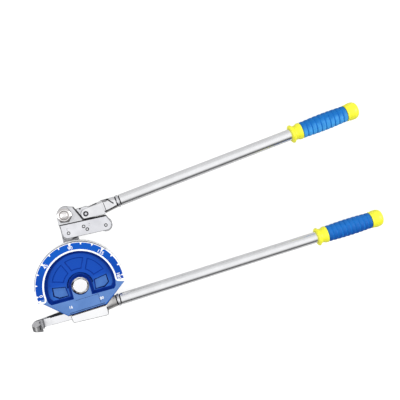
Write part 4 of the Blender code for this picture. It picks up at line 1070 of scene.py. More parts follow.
def sunk_faces(centre, normal):
    """The floors of the gap round the tongue and of the oil hole, painted black as shade."""
    return normal.z > 0.9 and tube_plane < centre.z < tube_plane + tongue_half - 0.3 * mm


def notch_faces(centre, normal):
    """The slanted face of the notch, its floor and the web below them, painted black as shade."""
    wall = abs(normal.z) < 0.9 and centre.x > body_top_corner[0] - 1 * mm and centre.y > plate_top - 1 * mm
    return wall or (abs(centre.z - tube_plane - web_half) < 0.1 * mm and normal.z > 0.9)


dress("shoe_block", block_mesh, shoe_place, "shoe", ["shoe_body"], "cast_steel", machined_steel,
      (black_steel_and_shade, sunk_faces), (black_steel_and_shade, notch_faces))
punch_profile = [(0, wheel_front + 0.1 * mm), (1.9 * mm, wheel_front + 0.1 * mm),
                  (1.5 * mm, wheel_front - 0.4 * mm), (0, wheel_front - 0.7 * mm)]
punch_tools = []
for spot in punch_marks:
    punch = lathe(punch_profile, 24, closed=False)
    punch.transform(Matrix.Translation((*spot, 0)))
    punch_tools.append(punch)


def plate_sides(centre, normal):
    """The blanked edges of a plate and its punch marks, painted darker as shade."""
    return abs(normal.z) < 0.93


def plate_top_edge(centre, normal):
    """The edge along the block and the lever, painted black as shade."""
    return abs(normal.z) < 0.93 and normal.y > 0.5


cheek_outline = rounded([(roller_left_x - 12.4 * mm, plate_top, 1 * mm),
                         (roller_right_x + 3.8 * mm, plate_top, 1 * mm),
                         (roller_right_x + 11.1 * mm, roller_height + 2 * mm, 4 * mm),
                         (roller_right_x + 7.5 * mm, plate_bottom, 9 * mm),
                         (roller_left_x - 10 * mm, plate_bottom, 9 * mm)])
rivets = {"roller_pin_left": roller_places[0], "roller_pin_right": roller_places[1],
          "spacer_pin": spacer_place, "plate_dowel": dowel_place}
for side, low, high, marks in (("front", plate_front_bottom, wheel_front, punch_tools),
                               ("rear", wheel_rear, plate_rear_top, [])):
    bores = [drill(spot, rivet_hole, low - overrun, high + overrun) for spot in rivets.values()]
    cheek_mesh = shaped(chamfered(cheek_outline, low, high, plate_edge), cuts=bores + marks)
    dress("side_plate_" + side, cheek_mesh, shoe_place, "shoe", ["shoe_plate_" + side], "bright_steel",
          blanked_plate, (shade_grey_steel, plate_sides), (black_steel_and_shade, plate_top_edge))
rivet_top = wheel_front + 0.3 * mm
rivet_round = 1 * mm
rivet_dent = 1.6 * mm
rivet_profile = [(0, rivet_top - 0.25 * mm), (0.7 * mm, rivet_top - 0.2 * mm), (1.5 * mm, rivet_top),
                 (1.65 * mm, rivet_top)]
rivet_profile += arc((pin_end_radius - rivet_round, rivet_top - rivet_round), rivet_round, math.pi / 2, 0, 4)
rivet_profile += [(pin_end_radius, wheel_rear), (0, wheel_rear)]


def rivet_rim(centre, normal):
    """The rounded rim of a rivet, painted black as shade."""
    return off_axis(centre) > rivet_dent


for node, spot in rivets.items():
    rivet_place = shoe_place @ Matrix.Translation((*spot, 0))
    dress(node + "_rivet", lathe(rivet_profile, 36, closed=False), rivet_place, "shoe", [node],
          "bright_steel", machined_steel, (black_steel_and_shade, rivet_rim))
# Painted shade: the rollers, set between the side plates, are coloured darker than bare steel.
roller_shade_steel = steel("roller_shade_steel", (0.34, 0.34, 0.35), (0.46, 0.46, 0.47), 0.30, (1, 1, 8))
roller_turn = math.acos((tube_radius + roller_root_radius - roller_flange_radius) / tube_radius)
roller_round = 0.5 * mm
round_x = roller_flange_radius - roller_round
round_z = web_half - roller_round
groove_steps = 16
roller_profile = [(rivet_hole, tube_plane + web_half)]
roller_profile += arc((round_x, tube_plane + round_z), roller_round, math.pi / 2, 0, 3)
for step in range(groove_steps + 1):
    angle = roller_turn - 2 * roller_turn * step / groove_steps
    roller_profile.append((roller_root_radius + tube_radius - tube_radius * math.cos(angle),
                           tube_plane + tube_radius * math.sin(angle)))
roller_profile += arc((round_x, tube_plane - round_z), roller_round, 0, -math.pi / 2, 3)
roller_profile.append((rivet_hole, tube_plane - web_half))
for side, spot in zip(("left", "right"), roller_places):
    dress("grooved_roller_" + side, lathe(roller_profile, 64), shoe_place @ Matrix.Translation((*spot, 0)),
          side + "_roller", ["roller_" + side], "bright_steel", roller_shade_steel)

# The lever's fork: a steel clevis that straddles the block's tongue on a dark socket screw.
# Its neck runs back to a round spigot inside the tube, and has a cross hole and shallow grooves cut in it.
lever_lift = math.radians(9)
lever_place = shoe_place @ Matrix.Translation((*screw_place, 0)) @ Matrix.Rotation(lever_lift, 4, "Z")
handle_tube_radius = 21.3 * mm / 2
handle_tube_wall = 2 * mm
ear_thickness = 4.5 * mm
neck_start = 32 * mm
neck_end = 57 * mm
neck_root_radius = 12.6 * mm
neck_tip_radius = 10.4 * mm
neck_flat = 9.4 * mm
spigot_length = 30 * mm
fork_depth = 24 * mm
fork_steel = steel("fork_steel", (0.72, 0.72, 0.74), (0.84, 0.84, 0.85), 0.36, (1, 4, 1), 0.02 * mm)
# Painted shade: a darker steel for the undersides of the necks.
neck_shade_steel = steel("neck_shade_steel", (0.42, 0.41, 0.40), (0.72, 0.71, 0.70), 0.36, (6, 1, 1), 0.02 * mm)
half_fork = tongue_half + running_gap + ear_thickness
screw_head_radius = 4.6 * mm
screw_head_height = 3 * mm
screw_setback = 0.3 * mm
spigot_clearance = 0.35 * mm
neck_edge = 0.4 * mm
fork_edge = 0.8 * mm
screw_edge = 0.6 * mm
small_edge = 0.12 * mm
lay_down = Matrix.Rotation(math.pi / 2, 4, "Y")


def neck_mesh(start, end, root_radius, tip_radius):
    """A handle's neck and the spigot inside its tube, laid along X."""
    spigot_radius = handle_tube_radius - handle_tube_wall - spigot_clearance
    profile = [(0, end + spigot_length), (spigot_radius, end + spigot_length), (spigot_radius, end),
               (tip_radius - neck_edge, end)]
    steps = 10
    for step in range(steps + 1):
        profile.append((tip_radius + (root_radius - tip_radius) * step / steps,
                        end - neck_edge + (start - end + neck_edge) * step / steps))
    profile.append((0, start))
    mesh = lathe(profile, 60, closed=False)
    mesh.transform(Matrix.Translation((0, 0, tube_plane)) @ lay_down)
    return mesh


ear_drop = 8.5 * mm
ear_corner = 1 * mm
face_turn = math.atan2(notch_heading.y, notch_heading.x) - math.pi / 2 - lever_lift
floor_turn = -math.pi / 2 - lever_lift
swing = math.sin(floor_turn - face_turn)
corner = Vector(((clevis_round * math.sin(floor_turn) - ear_drop * math.sin(face_turn)) / swing,
                 (ear_drop * math.cos(face_turn) - clevis_round * math.cos(floor_turn)) / swing))
up_the_face = Vector((math.sin(face_turn), -math.cos(face_turn)))
along_the_floor = Vector((-math.sin(floor_turn), math.cos(floor_turn)))
ear_outline = arc((0, 0), clevis_round, math.pi / 2, math.tau + face_turn)
ear_outline += [tuple(corner + up_the_face * ear_corner), tuple(corner + along_the_floor * ear_corner)]
ear_outline += [(29.6 * mm, -13.3 * mm), (33.4 * mm, -11.7 * mm), (34.8 * mm, -1 * mm),
                (33.3 * mm, 11.4 * mm)]
wide = 2 * neck_root_radius + overrun
far_end = neck_end + spigot_length + overrun
shave = [(neck_start, -wide), (far_end, -wide), (far_end, wide), (neck_start, wide)]
slot_outline = [(-clevis_round - overrun, -wide), (fork_depth, -wide), (fork_depth, wide),
                (-clevis_round - overrun, wide)]
slot_half = tongue_half + running_gap
fork_front = tube_plane + half_fork
ear_top = 11.4 * mm
ear_front_top = 8.2 * mm
draft_depth = 12 * mm
slope = (ear_top - ear_front_top) / draft_depth
draft_outline = [(fork_front + overrun, ear_front_top - slope * overrun),
                 (fork_front + overrun, ear_top + overrun), (fork_front - draft_depth, ear_top + overrun),
                 (fork_front - draft_depth, ear_top)]
draft = sheet(draft_outline, -clevis_round - overrun, neck_start)
draft.transform(Matrix.Rotation(-math.pi / 2, 4, "Y") @ Matrix.Scale(-1, 4, (0, 0, 1)))
draft.flip_normals()
hole_place = Matrix.Translation((44 * mm, 0, tube_plane)) @ Matrix.Rotation(math.radians(-62), 4, "X")
hole_radius = 2.6 * mm
neck_hole = drill((0, 0), hole_radius, 6 * mm, 16 * mm)
neck_hole.transform(hole_place)
groove_paths = (([(44.6 * mm, 10.4 * mm), (48.8 * mm, 4.2 * mm), (52.4 * mm, -0.6 * mm)], 2.2 * mm, 6.6 * mm),
                ([(32.5 * mm, -8.6 * mm), (56 * mm, -7.1 * mm)], 2 * mm, 3.5 * mm),
                ([(35.3 * mm, -11 * mm), (35.6 * mm, 7 * mm)], 1.1 * mm, neck_flat - 1.5 * mm))
neck_grooves = [sheet(ribbon(path, width), tube_plane + floor_height, through[1])
                for path, width, floor_height in groove_paths]
fork_mesh = shaped(chamfered(ear_outline, tube_plane - half_fork, tube_plane + half_fork, fork_edge),
                   joins=[neck_mesh(neck_start, neck_end, neck_root_radius, neck_tip_radius)],
                   cuts=[sheet(shave, tube_plane + neck_flat, tube_plane + neck_flat + neck_root_radius),
                         sheet(shave, tube_plane - neck_flat - neck_root_radius, tube_plane - neck_flat),
                         sheet(slot_outline, tube_plane - slot_half, tube_plane + slot_half),
                         drill((0, 0), screw_hole, *through),
                         drill((0, 0), screw_head_radius + pin_clearance,
                               tube_plane + half_fork - screw_head_height - screw_setback, through[1]),
                         draft, neck_hole, *neck_grooves])


def ear_flanks(centre, normal):
    """The ears' own sides, but for the sloping upper flank, painted darker as shade."""
    return abs(normal.z) < 0.9 and centre.x < neck_start + 3 * mm and normal.y < 0.8


def upper_neck(centre, normal):
    """The patch on top of the neck next to the ears, painted darker as shade."""
    return neck_start < centre.x < 43 * mm and normal.y > 0.42 and centre.z > tube_plane


def lower_flank(centre, normal):
    """The underside of the neck, painted darker as shade."""
    return centre.x > neck_start and normal.y < -0.3


def fork_slot(centre, normal):
    """The inner faces of the fork, painted black as shade."""
    inside = centre.x < fork_depth + 1 * mm and abs(centre.z - tube_plane) < slot_half + 0.05 * mm
    return inside and abs(normal.y) < 0.5


def neck_cuts(centre, normal):
    """The cross hole and the grooves of the neck, painted black as shade."""
    if centre.x < neck_start or centre.x > neck_end:
        return False
    local = hole_place.inverted() @ centre
    in_hole = off_axis(local) < hole_radius + 0.05 * mm and 0 < local.z
    along = (centre.x - neck_start) / (neck_end - neck_start)
    surface = neck_root_radius - (neck_root_radius - neck_tip_radius) * along
    depth = surface - math.hypot(centre.y, centre.z - tube_plane)
    sunk = depth > 0.45 * mm and tube_plane + 3 * mm < centre.z < tube_plane + neck_flat - 0.3 * mm
    return in_hole or sunk


dress("lever_fork", fork_mesh, lever_place, "lever", ["handle_clevis"], "cast_steel", fork_steel,
      (dark_shade_steel, ear_flanks), (shade_grey_steel, upper_neck), (neck_shade_steel, lower_flank), (black_steel_and_shade, fork_slot),
      (black_steel_and_shade, neck_cuts))
screw_top = tube_plane + half_fork - screw_setback
screw_under = screw_top - screw_head_height + running_gap
socket_profile = [(0, screw_top), (screw_head_radius - screw_edge, screw_top),
                  (screw_head_radius, screw_top - screw_edge), (screw_head_radius, screw_under),
                  (clevis_screw_radius, screw_under), (clevis_screw_radius, tube_plane - half_fork),
                  (0, tube_plane - half_fork)]
socket_radius = 2.3 * mm
socket_depth = 2 * mm


def socket_screw(profile, key_radius, low, high):
    """A turned screw with a hexagon socket between two heights."""
    socket = sheet(circle((0, 0), key_radius, 6), low, high)
    return shaped(lathe(profile, 48, closed=False), cuts=[socket], edge=small_edge)


def socket_faces(centre, normal):
    """The hexagon socket of the fork's screw, painted bright as a highlight."""
    return off_axis(centre) < socket_radius + 0.1 * mm


fork_screw = socket_screw(socket_profile, socket_radius, screw_top - socket_depth, screw_top + overrun)
dress("fork_screw", fork_screw, lever_place, "lever", ["clevis_screw"], "dark_steel", black_steel_and_shade,
      (machined_steel, socket_faces))

# The handle tubes: half-inch plated steel pipe, each with a grooved collar where it meets its neck.
# The plating is bright, with faint marks along the pipe.
plated_tube = steel("plated_tube", (0.84, 0.84, 0.85), (0.90, 0.90, 0.91), 0.20, (0.15, 8, 8), scale=300)
collar_steel = steel("collar_steel", (0.66, 0.66, 0.68), (0.76, 0.76, 0.78), 0.26)
collar_width = 6.4 * mm
collar_rise = 0.6 * mm
collar_round = 0.4 * mm
collar_low = 0.3 * collar_width
collar_high = 0.98 * collar_width
collar_step = 1.4 * mm
relief_width = 1.5 * mm
relief_depth = 1.3 * mm
tube_edge = 0.4 * mm
tube_bore = handle_tube_radius - handle_tube_wall
collar_outer = handle_tube_radius + collar_rise
grip_end_wall = 8 * mm


def lay(start, sideways):
    """Turns a piece modelled upright so that it lies along its handle."""
    return Matrix.Translation((start, sideways, tube_plane)) @ lay_down


def collar_grooves(centre, normal):
    """The faces below the collar's ridge, painted black as shade."""
    return off_axis(centre) < collar_outer - 0.42 * mm


def turned_relief(centre, normal):
    """The tube's narrow relief next to the collar, painted black as shade."""
    return centre.z < relief_width + 0.05 * mm


ridge_x = collar_outer - collar_round
collar_profile = [(tube_bore, collar_width)]
collar_profile += arc((ridge_x, collar_high - collar_round), collar_round, math.pi / 2, 0, 3)
collar_profile += arc((ridge_x, collar_low + collar_round), collar_round, 0, -math.pi / 2, 3)
collar_profile += [(collar_outer - collar_step, collar_low), (collar_outer - collar_step, 0), (tube_bore, 0)]


def handle_tube(label, place, body, neck_tip, grip_start, sideways, grip_length):
    """A handle's collar and tube."""
    collar_start = neck_tip + running_gap
    tube_start = collar_start + collar_width + running_gap
    dress(label + "_neck_collar", lathe(collar_profile, 60), place @ lay(collar_start, sideways), body,
          [label + "_collar"], "bright_steel", collar_steel, (black_steel_and_shade, collar_grooves))
    length = grip_start + grip_length - grip_end_wall - running_gap - tube_start
    relief_radius = handle_tube_radius - relief_depth
    tube_profile = [(tube_bore, length), (handle_tube_radius, length),
                    (handle_tube_radius, relief_width + tube_edge),
                    (handle_tube_radius - tube_edge, relief_width), (relief_radius, relief_width),
                    (relief_radius, 0), (tube_bore, 0)]
    dress(label + "_handle_tube", lathe(tube_profile, 72), place @ lay(tube_start, sideways), body,
          [label + "_tube"], "bright_steel", plated_tube, (black_steel_and_shade, turned_relief))


# The grips: a hard yellow moulding with a finger flange, collar and cap, under a soft blue sleeve.
# The sleeve swells a little in the middle and has shallow rings, with their grooves painted darker as shade.
# Its rubber carries painted light: one tone along its upper side and another along its lower side.
yellow_moulding, tree, shader, where = finish_nodes("yellow_moulding", (0.92, 0.90, 0.04), 0.38, 0.0)
tinted(tree, grain(tree, where, 50), (0.84, 0.82, 0.026), (0.89, 0.87, 0.042), shader)
spread(tree, grain(tree, where, 700), 0.34, 0.48, shader)
relief(tree, grain(tree, where, 1500, 2.0), 0.015 * mm, shader)
grip_flange_radius = 17.3 * mm
grip_flange_width = 5 * mm
grip_waist_radius = 13.6 * mm
grip_waist_end = 12 * mm
grip_collar_radius = 15.6 * mm
grip_sleeve_start = 20.3 * mm
grip_sleeve_length = 89 * mm
grip_cap_length = 23.8 * mm
grip_length = grip_sleeve_start + grip_sleeve_length + grip_cap_length
grip_seat_radius = 12.6 * mm
grip_cap_radius = 16.8 * mm
sleeve_end_radius = 15.2 * mm
sleeve_middle_radius = 16.5 * mm
cap_neck_length = 6 * mm
cap_straight = 6 * mm
cap_fullness = 0.45
cap_steps = 14
core_bore_radius = handle_tube_radius + 0.3 * mm
core_bore_edge = 0.6 * mm
grip_collar_round = 0.7 * mm
ring_count = 10
ring_depth = 1.1 * mm
ring_fullness = 0.6
ring_steps = 8 * ring_count
rubber_cloudiness = 0.35


def smooth_path(points, steps=6):
    """A soft curve through profile points."""
    path = []
    for index in range(len(points) - 1):
        before = Vector(points[max(index - 1, 0)])
        first = Vector(points[index])
        last = Vector(points[index + 1])
        after = Vector(points[min(index + 2, len(points) - 1)])
        for step in range(steps):
            t = step / steps
            spot = 0.5 * (2 * first + (last - before) * t
                          + (2 * before - 5 * first + 4 * last - after) * t ** 2
                          + (3 * first - before - 3 * last + after) * t ** 3)
            path.append(tuple(spot))
    path.append(tuple(points[-1]))
    return path


sleeve_end = grip_sleeve_start + grip_sleeve_length
dome_start = sleeve_end + cap_neck_length + cap_straight
dome_height = grip_length - dome_start
cap_profile = []
for step in range(cap_steps + 1):
    angle = math.pi / 2 * (1 - step / cap_steps)
    cap_profile.append((grip_cap_radius * math.cos(angle) ** cap_fullness,
                        dome_start + dome_height * math.sin(angle)))
cap_profile[0] = (0, grip_length)
cap_profile += smooth_path([(grip_cap_radius, dome_start - 1 * mm),
                            (grip_cap_radius - 0.3 * mm, sleeve_end + 6.5 * mm),
                            (grip_cap_radius - 1.2 * mm, sleeve_end + 3.2 * mm),
                            (grip_collar_radius + 0.3 * mm, sleeve_end + 0.6 * mm),
                            (grip_collar_radius - 0.4 * mm, sleeve_end)], 4)
front_profile = arc((grip_collar_radius - grip_collar_round, grip_sleeve_start - grip_collar_round),
                    grip_collar_round, math.pi / 2, 0, 4)
front_profile += smooth_path([(grip_collar_radius, grip_waist_end + 3.5 * mm),
                              (grip_waist_radius + 0.3 * mm, grip_waist_end),
                              (grip_waist_radius, grip_flange_width + 3.4 * mm),
                              (grip_waist_radius + 0.9 * mm, grip_flange_width + 1.2 * mm),
                              (grip_flange_radius - 1.6 * mm, grip_flange_width)])
flange_middle = grip_flange_width / 2
front_profile += arc((grip_flange_radius - flange_middle, flange_middle), flange_middle, math.pi / 2.6,
                     -math.pi / 2.1, 10)
core_profile = cap_profile + [(grip_seat_radius, sleeve_end), (grip_seat_radius, grip_sleeve_start)]
core_profile += front_profile
core_profile += [(core_bore_radius + core_bore_edge, 0), (core_bore_radius, core_bore_edge),
                 (core_bore_radius, grip_length - grip_end_wall), (0, grip_length - grip_end_wall)]
groove_shade_rubber, tree, shader, where = finish_nodes("groove_shade_rubber", (0.006, 0.14, 0.48), 0.7, 0.0)
shader.inputs["Specular IOR Level"].default_value = 0.12
tinted(tree, grain(tree, where, 110), (0.003, 0.110, 0.42), (0.010, 0.170, 0.55), shader)
relief(tree, grain(tree, where, 1800), 0.03 * mm, shader)
sleeve_low = grip_sleeve_start + running_gap
sleeve_high = sleeve_end - running_gap


def barrel(along):
    """The radius over the sleeve's rings, from its start at 0 to its end at 1."""
    return sleeve_end_radius + (sleeve_middle_radius - sleeve_end_radius) * math.sin(math.pi * along)


rubber_profile = [(grip_seat_radius + running_gap, sleeve_high)]
for step in range(ring_steps + 1):
    along = 1 - step / ring_steps
    wave = abs(math.sin(math.pi * ring_count * along)) ** ring_fullness
    rubber_profile.append((barrel(along) - ring_depth * (1 - wave),
                           sleeve_low + (sleeve_high - sleeve_low) * along))
rubber_profile.append((grip_seat_radius + running_gap, sleeve_low))


def ring_grooves(centre, normal):
    """The grooves between the sleeve's rings, painted darker as shade."""
    along = (centre.z - sleeve_low) / (sleeve_high - sleeve_low)
    return off_axis(centre) < barrel(min(max(along, 0), 1)) - 0.6 * ring_depth


def sleeve_rubber(name, place, sideways, above, below):
    """Moulded rubber with painted light: one tone along its upper side and another along its lower side."""
    rubber, tree, shader, where = finish_nodes(name, above, 0.6, 0.0)
    shader.inputs["Specular IOR Level"].default_value = 0.18
    across = place.to_3x3() @ Vector((0, 1, 0))
    axis_height = (place @ Vector((0, sideways, 0))).dot(across)
    height = tree.nodes.new("ShaderNodeVectorMath")
    height.operation = "DOT_PRODUCT"
    height.inputs[1].default_value = across
    tree.links.new(where, height.inputs[0])
    fade = graded(tree, height.outputs["Value"], axis_height + sleeve_middle_radius,
                  axis_height - sleeve_middle_radius, 0, 1)
    blend = tree.nodes.new("ShaderNodeMix")
    blend.inputs["Factor"].default_value = rubber_cloudiness
    tree.links.new(fade, blend.inputs["A"])
    tree.links.new(grain(tree, where, 110), blend.inputs["B"])
    tinted(tree, blend.outputs["Result"], above, below, shader)
    spread(tree, grain(tree, where, 900), 0.48, 0.68, shader)
    relief(tree, grain(tree, where, 2200, 2.0), 0.03 * mm, shader)
    return rubber


def handle_grip(label, place, body, start, sideways, stretch, above, below):
    """One handle's grip core and sleeve, drawn out a little along the tube."""
    rubber = sleeve_rubber(label + "_sleeve_blue", place, sideways, above, below)
    seat = place @ lay(start, sideways) @ Matrix.Diagonal((1, 1, stretch, 1))
    dress(label + "_grip_moulding", lathe(core_profile, 72, closed=False), seat, body,
          [label + "_grip_core"], "yellow_plastic", yellow_moulding, smooth=50)
    dress(label + "_soft_sleeve", lathe(rubber_profile, 72), seat, body,
          [label + "_grip_sleeve"], "blue_rubber", rubber, (groove_shade_rubber, ring_grooves), smooth=60)


lever_grip_start = 404.5 * mm
form_grip_start = 447 * mm
form_neck_end = 53.6 * mm
form_handle_offset = 47.4 * mm
upper_grip_stretch = 1.04
lower_grip_stretch = 1.017
lower_tube_turn = math.radians(0.21)
handle_tube("upper", lever_place, "lever", neck_end, lever_grip_start, 0, grip_length)
handle_grip("upper", lever_place, "lever", lever_grip_start, 0, upper_grip_stretch,
            (0.005, 0.145, 0.47), (0.058, 0.330, 0.74))
handle_place = Matrix.Rotation(form_handle_tilt, 4, "Z")
tube_root = Matrix.Translation((form_neck_end, -form_handle_offset, 0))
tube_place = handle_place @ tube_root @ Matrix.Rotation(lower_tube_turn, 4, "Z") @ tube_root.inverted()
handle_tube("lower", tube_place, "form", form_neck_end, form_grip_start, -form_handle_offset, grip_length)
handle_grip("lower", tube_place, "form", form_grip_start, -form_handle_offset, lower_grip_stretch,
            (0.009, 0.138, 0.475), (0.002, 0.080, 0.37))

# The form handle's forging: the vise lug and slab under the wheel's base plate, with the lower neck.
# Three socket screws from behind hold it to the casting.
# A thin dark sheet along the seam between the base plate and the lug is a painted shadow.
forged_steel = steel("forged_steel", (0.90, 0.90, 0.91), (0.95, 0.95, 0.95), 0.36, (7, 1, 1))
dark_oxide = steel("dark_oxide", (0.16, 0.16, 0.17), (0.22, 0.22, 0.23), 0.38)
forging_half_width = 33 * mm
forging_top_drop = 26 * mm
forging_corner = 4 * mm
lug_setback = 2.6 * mm
form_neck_start = 33.6 * mm
form_neck_root = 12.6 * mm
form_neck_tip = 10.4 * mm
base_screw_drop = 34 * mm
base_screw_spacing = 22 * mm
base_screw_radius = 4 * mm
base_screw_head_radius = 6.5 * mm
base_screw_head_height = 5 * mm
latch_pivot = (-19.8 * mm, -51.2 * mm)
latch_front = tube_plane - groove_radius - groove_clearance
seat_level = wheel_front - base_plate_thickness - running_gap
latch_thread_radius = 4 * mm
latch_thread_top = latch_front + 11 * mm + running_gap
lug_edge = 1 * mm
neck_side = 35.8 * mm
pocket_top = -39.6 * mm
pocket_end = -6.5 * mm
seam_shadow_width = 1.5 * mm
seam_shadow_drop = 1.15 * mm
seam_shadow_top = 0.1 * mm
slab_outline = rounded([(-forging_half_width, -forging_top_drop, forging_corner),
                        (-31 * mm, -62 * mm, forging_corner), (34 * mm, -67 * mm, forging_corner),
                        (35.5 * mm, -base_drop, 0), (forging_half_width, -forging_top_drop, forging_corner)])
form_neck = neck_mesh(form_neck_start, form_neck_end, form_neck_root, form_neck_tip)
form_neck.transform(Matrix.Translation((0, -form_handle_offset, 0)))
far = 70 * mm
pocket = [(-far, pocket_top), (-far, -far), (pocket_end, -far), (pocket_end, pocket_top)]
base_screws = {"left": -base_screw_spacing, "middle": 0, "right": base_screw_spacing}
screw_cuts = []
for x in base_screws.values():
    screw_cuts.append(drill((x, -base_screw_drop), base_screw_radius + pin_clearance, *through))
    screw_cuts.append(drill((x, -base_screw_drop), base_screw_head_radius + pin_clearance, through[0],
                            wheel_rear + base_screw_head_height + 2 * running_gap))
seat_outline = [in_handle_axes(x, y) for x, y in base_outline(running_gap)]
lug_face = wheel_front - lug_setback
lug = chamfered(slab_outline, wheel_rear, lug_face, lug_edge)
latch_thread = drill(latch_pivot, latch_thread_radius + pin_clearance, through[0], latch_thread_top)
forging_mesh = shaped(lug, joins=[form_neck],
                      cuts=[sheet(seat_outline, seat_level, through[1]),
                            sheet(pocket, through[0], latch_front + running_gap), *screw_cuts, latch_thread])


def lower_neck(centre, normal):
    """The neck beyond the lug's side, painted darker than the lug's face as shade."""
    return centre.x > neck_side


def lug_sides(centre, normal):
    """The sides of the lug, not of the neck, painted darker as shade."""
    return abs(normal.z) < 0.1 and centre.x < neck_side


def lug_edges(centre, normal):
    """The chamfered edges of the lug, painted black as shade."""
    return 0.1 <= abs(normal.z) < 0.93 and centre.x < neck_side


dress("vise_lug_forging", forging_mesh, handle_place, "form", ["form_handle_forging"], "cast_steel",
      forged_steel, (shade_grey_steel, lug_sides), (black_steel_and_shade, lug_edges), (neck_shade_steel, lower_neck))
base_points = [in_handle_axes(x, y) for x, y in base_outline()]
(left_x, left_y), (right_x, right_y) = sorted(sorted(base_points, key=lambda point: point[1])[:2])
seam_shadow_path = [(x, left_y + (right_y - left_y) * (x - left_x) / (right_x - left_x) - seam_shadow_drop)
             for x in (-30 * mm, 34 * mm)]
seam_shadow_mesh = sheet(ribbon(seam_shadow_path, seam_shadow_width), lug_face + shadow_sheet_lift, lug_face + seam_shadow_top)
dress("seat_shadow_line", seam_shadow_mesh, handle_place, "form", [], "dark_steel", black_steel_and_shade)
screw_low = wheel_rear + running_gap
screw_neck = screw_low + base_screw_head_height
screw_tip = seat_level + running_gap + 6 * mm
hex_key_radius = 3.4 * mm
base_screw_profile = [(0, screw_tip), (base_screw_radius, screw_tip), (base_screw_radius, screw_neck),
                      (base_screw_head_radius, screw_neck), (base_screw_head_radius, screw_low + screw_edge),
                      (base_screw_head_radius - screw_edge, screw_low), (0, screw_low)]
for side, x in base_screws.items():
    mesh = socket_screw(base_screw_profile, hex_key_radius, screw_low - overrun, screw_low + 3 * mm)
    dress("socket_screw_" + side, mesh, handle_place @ Matrix.Translation((x, -base_screw_drop, 0)), "form",
          ["base_screw_" + side], "dark_steel", dark_oxide)

# The latch: a forged arm behind the lug, with a thick hook that closes round the tube's tail.
# The hook's lip has a slanting notch and a shallow groove, both painted black as shade.
# It swings down on a shoulder screw, with a washer under the screw's head.
hook_steel = steel("hook_steel", (0.07, 0.07, 0.075), (0.26, 0.26, 0.26), 0.42, (1, 5, 1))
# Painted shade: a near-black steel for the arm's upper flank.
flank_shade_steel = steel("flank_shade_steel", (0.03, 0.033, 0.04), (0.06, 0.065, 0.075), 0.4, (1, 5, 1))
latch_steel = steel("latch_steel", (0.86, 0.86, 0.88), (0.94, 0.94, 0.95), 0.34, (1, 7, 1))
latch_x, latch_y = on_handle_line(*latch_pivot)
latch_place = Matrix.Translation((latch_x, latch_y, 0))
latch_eye_radius = 10.5 * mm
latch_root_thickness = 12 * mm
latch_tip_thickness = 8 * mm
latch_arm_height = 12.6 * mm
latch_axis_y = -51.8 * mm
hook_wall = 13 * mm
hook_lip_thickness = 5.4 * mm
hook_outer_round = 12 * mm
hook_lip_reach = 2.5 * mm
hook_slope_drop = 6 * mm
hook_overlap = 12 * mm
hook_rise = 5.2 * mm
arm_extra_drop = 1.9 * mm
arm_edge = 0.7 * mm
chin_drop = 2.4 * mm
mouth_width = 2.4 * mm
lip_groove_width = 1.7 * mm
lip_groove_depth = 4.4 * mm
arm_seam_width = 0.3 * mm
latch_screw_radius = 5 * mm
latch_screw_head_radius = 8 * mm
latch_screw_head_height = 3.6 * mm
latch_washer_radius = 9 * mm
latch_washer_thickness = 1.2 * mm
washer_edge = 0.2 * mm
half_arm = latch_arm_height / 2
tube_x = -bend_radius - latch_x
side_y = latch_axis_y - latch_y
hook_hole = groove_radius + groove_clearance
hook_back = tube_x - hook_hole - hook_wall
hook_front = tube_plane + hook_hole + hook_lip_thickness
hook_rear = latch_front - latch_tip_thickness
lip_x = tube_x - hook_lip_reach
hook_outer = rounded([(lip_x, hook_rear, 0), (hook_back, hook_rear, hook_outer_round),
                      (hook_back, hook_front, hook_outer_round), (lip_x, hook_front, 0)])[1:-1]
hook_inner = arc((tube_x, tube_plane), hook_hole, math.acos(-hook_lip_reach / hook_hole), math.pi * 3 / 2)
arm_end = tube_x + hook_overlap
hook_outline = [(arm_end, hook_rear), *hook_outer, (lip_x, hook_front), *hook_inner, (arm_end, latch_front)]
on_edge = Matrix.Translation((0, side_y, 0)) @ Matrix.Rotation(math.pi / 2, 4, "X")
hook_mesh = sheet(hook_outline, -half_arm, half_arm + hook_rise)
hook_mesh.transform(on_edge)
lower_side = side_y - half_arm - arm_extra_drop
upper_side = side_y + half_arm
latch_eye_turn = math.asin(-lower_side / latch_eye_radius)
eye_arc = arc((0, 0), latch_eye_radius, -math.pi + latch_eye_turn, math.radians(100))
lower_end = (-72 * mm, lower_side)
rear_outline = eye_arc + [(-10 * mm, 11 * mm), (-20 * mm, 11.2 * mm), (-42 * mm, 10.2 * mm),
                          (-56 * mm, 9.2 * mm), (-72 * mm, 7.4 * mm), lower_end]
front_outline = eye_arc + [(-8.35 * mm, upper_side), (-20 * mm, upper_side), (-42 * mm, upper_side),
                           (-56 * mm, upper_side - 0.9 * mm), (-72 * mm, upper_side - 1.9 * mm), lower_end]
arm_rear = latch_front - latch_root_thickness
taper_tip = tube_x - groove_radius - hook_wall - overrun
taper_outline = [(-latch_eye_radius, arm_rear - overrun), (-latch_eye_radius, arm_rear), (arm_end, hook_rear),
                 (taper_tip, hook_rear), (taper_tip, arm_rear - overrun)]
taper_mesh = sheet(taper_outline, -half_arm - overrun, half_arm + overrun)
taper_mesh.transform(on_edge)
slope_front = tube_plane + groove_radius + hook_lip_thickness + overrun
slope_length = hook_wall + 2 * groove_radius + 2 * overrun
slope_outline = [(upper_side + overrun, latch_front), (upper_side, latch_front),
                 (upper_side - hook_slope_drop, slope_front), (upper_side + overrun, slope_front)]
slope_mesh = sheet(slope_outline, -slope_length / 2, slope_length / 2)
slope_mesh.transform(Matrix.Translation((taper_tip + slope_length / 2, 0, 0))
                     @ Matrix.Rotation(math.pi / 2, 4, "Z") @ Matrix.Rotation(math.pi / 2, 4, "X"))
arm_mesh = loft((rear_outline, arm_rear), (front_outline, latch_front - arm_edge),
                (inset(front_outline, arm_edge), latch_front))
arm_seam_x = tube_x + 2.2 * mm
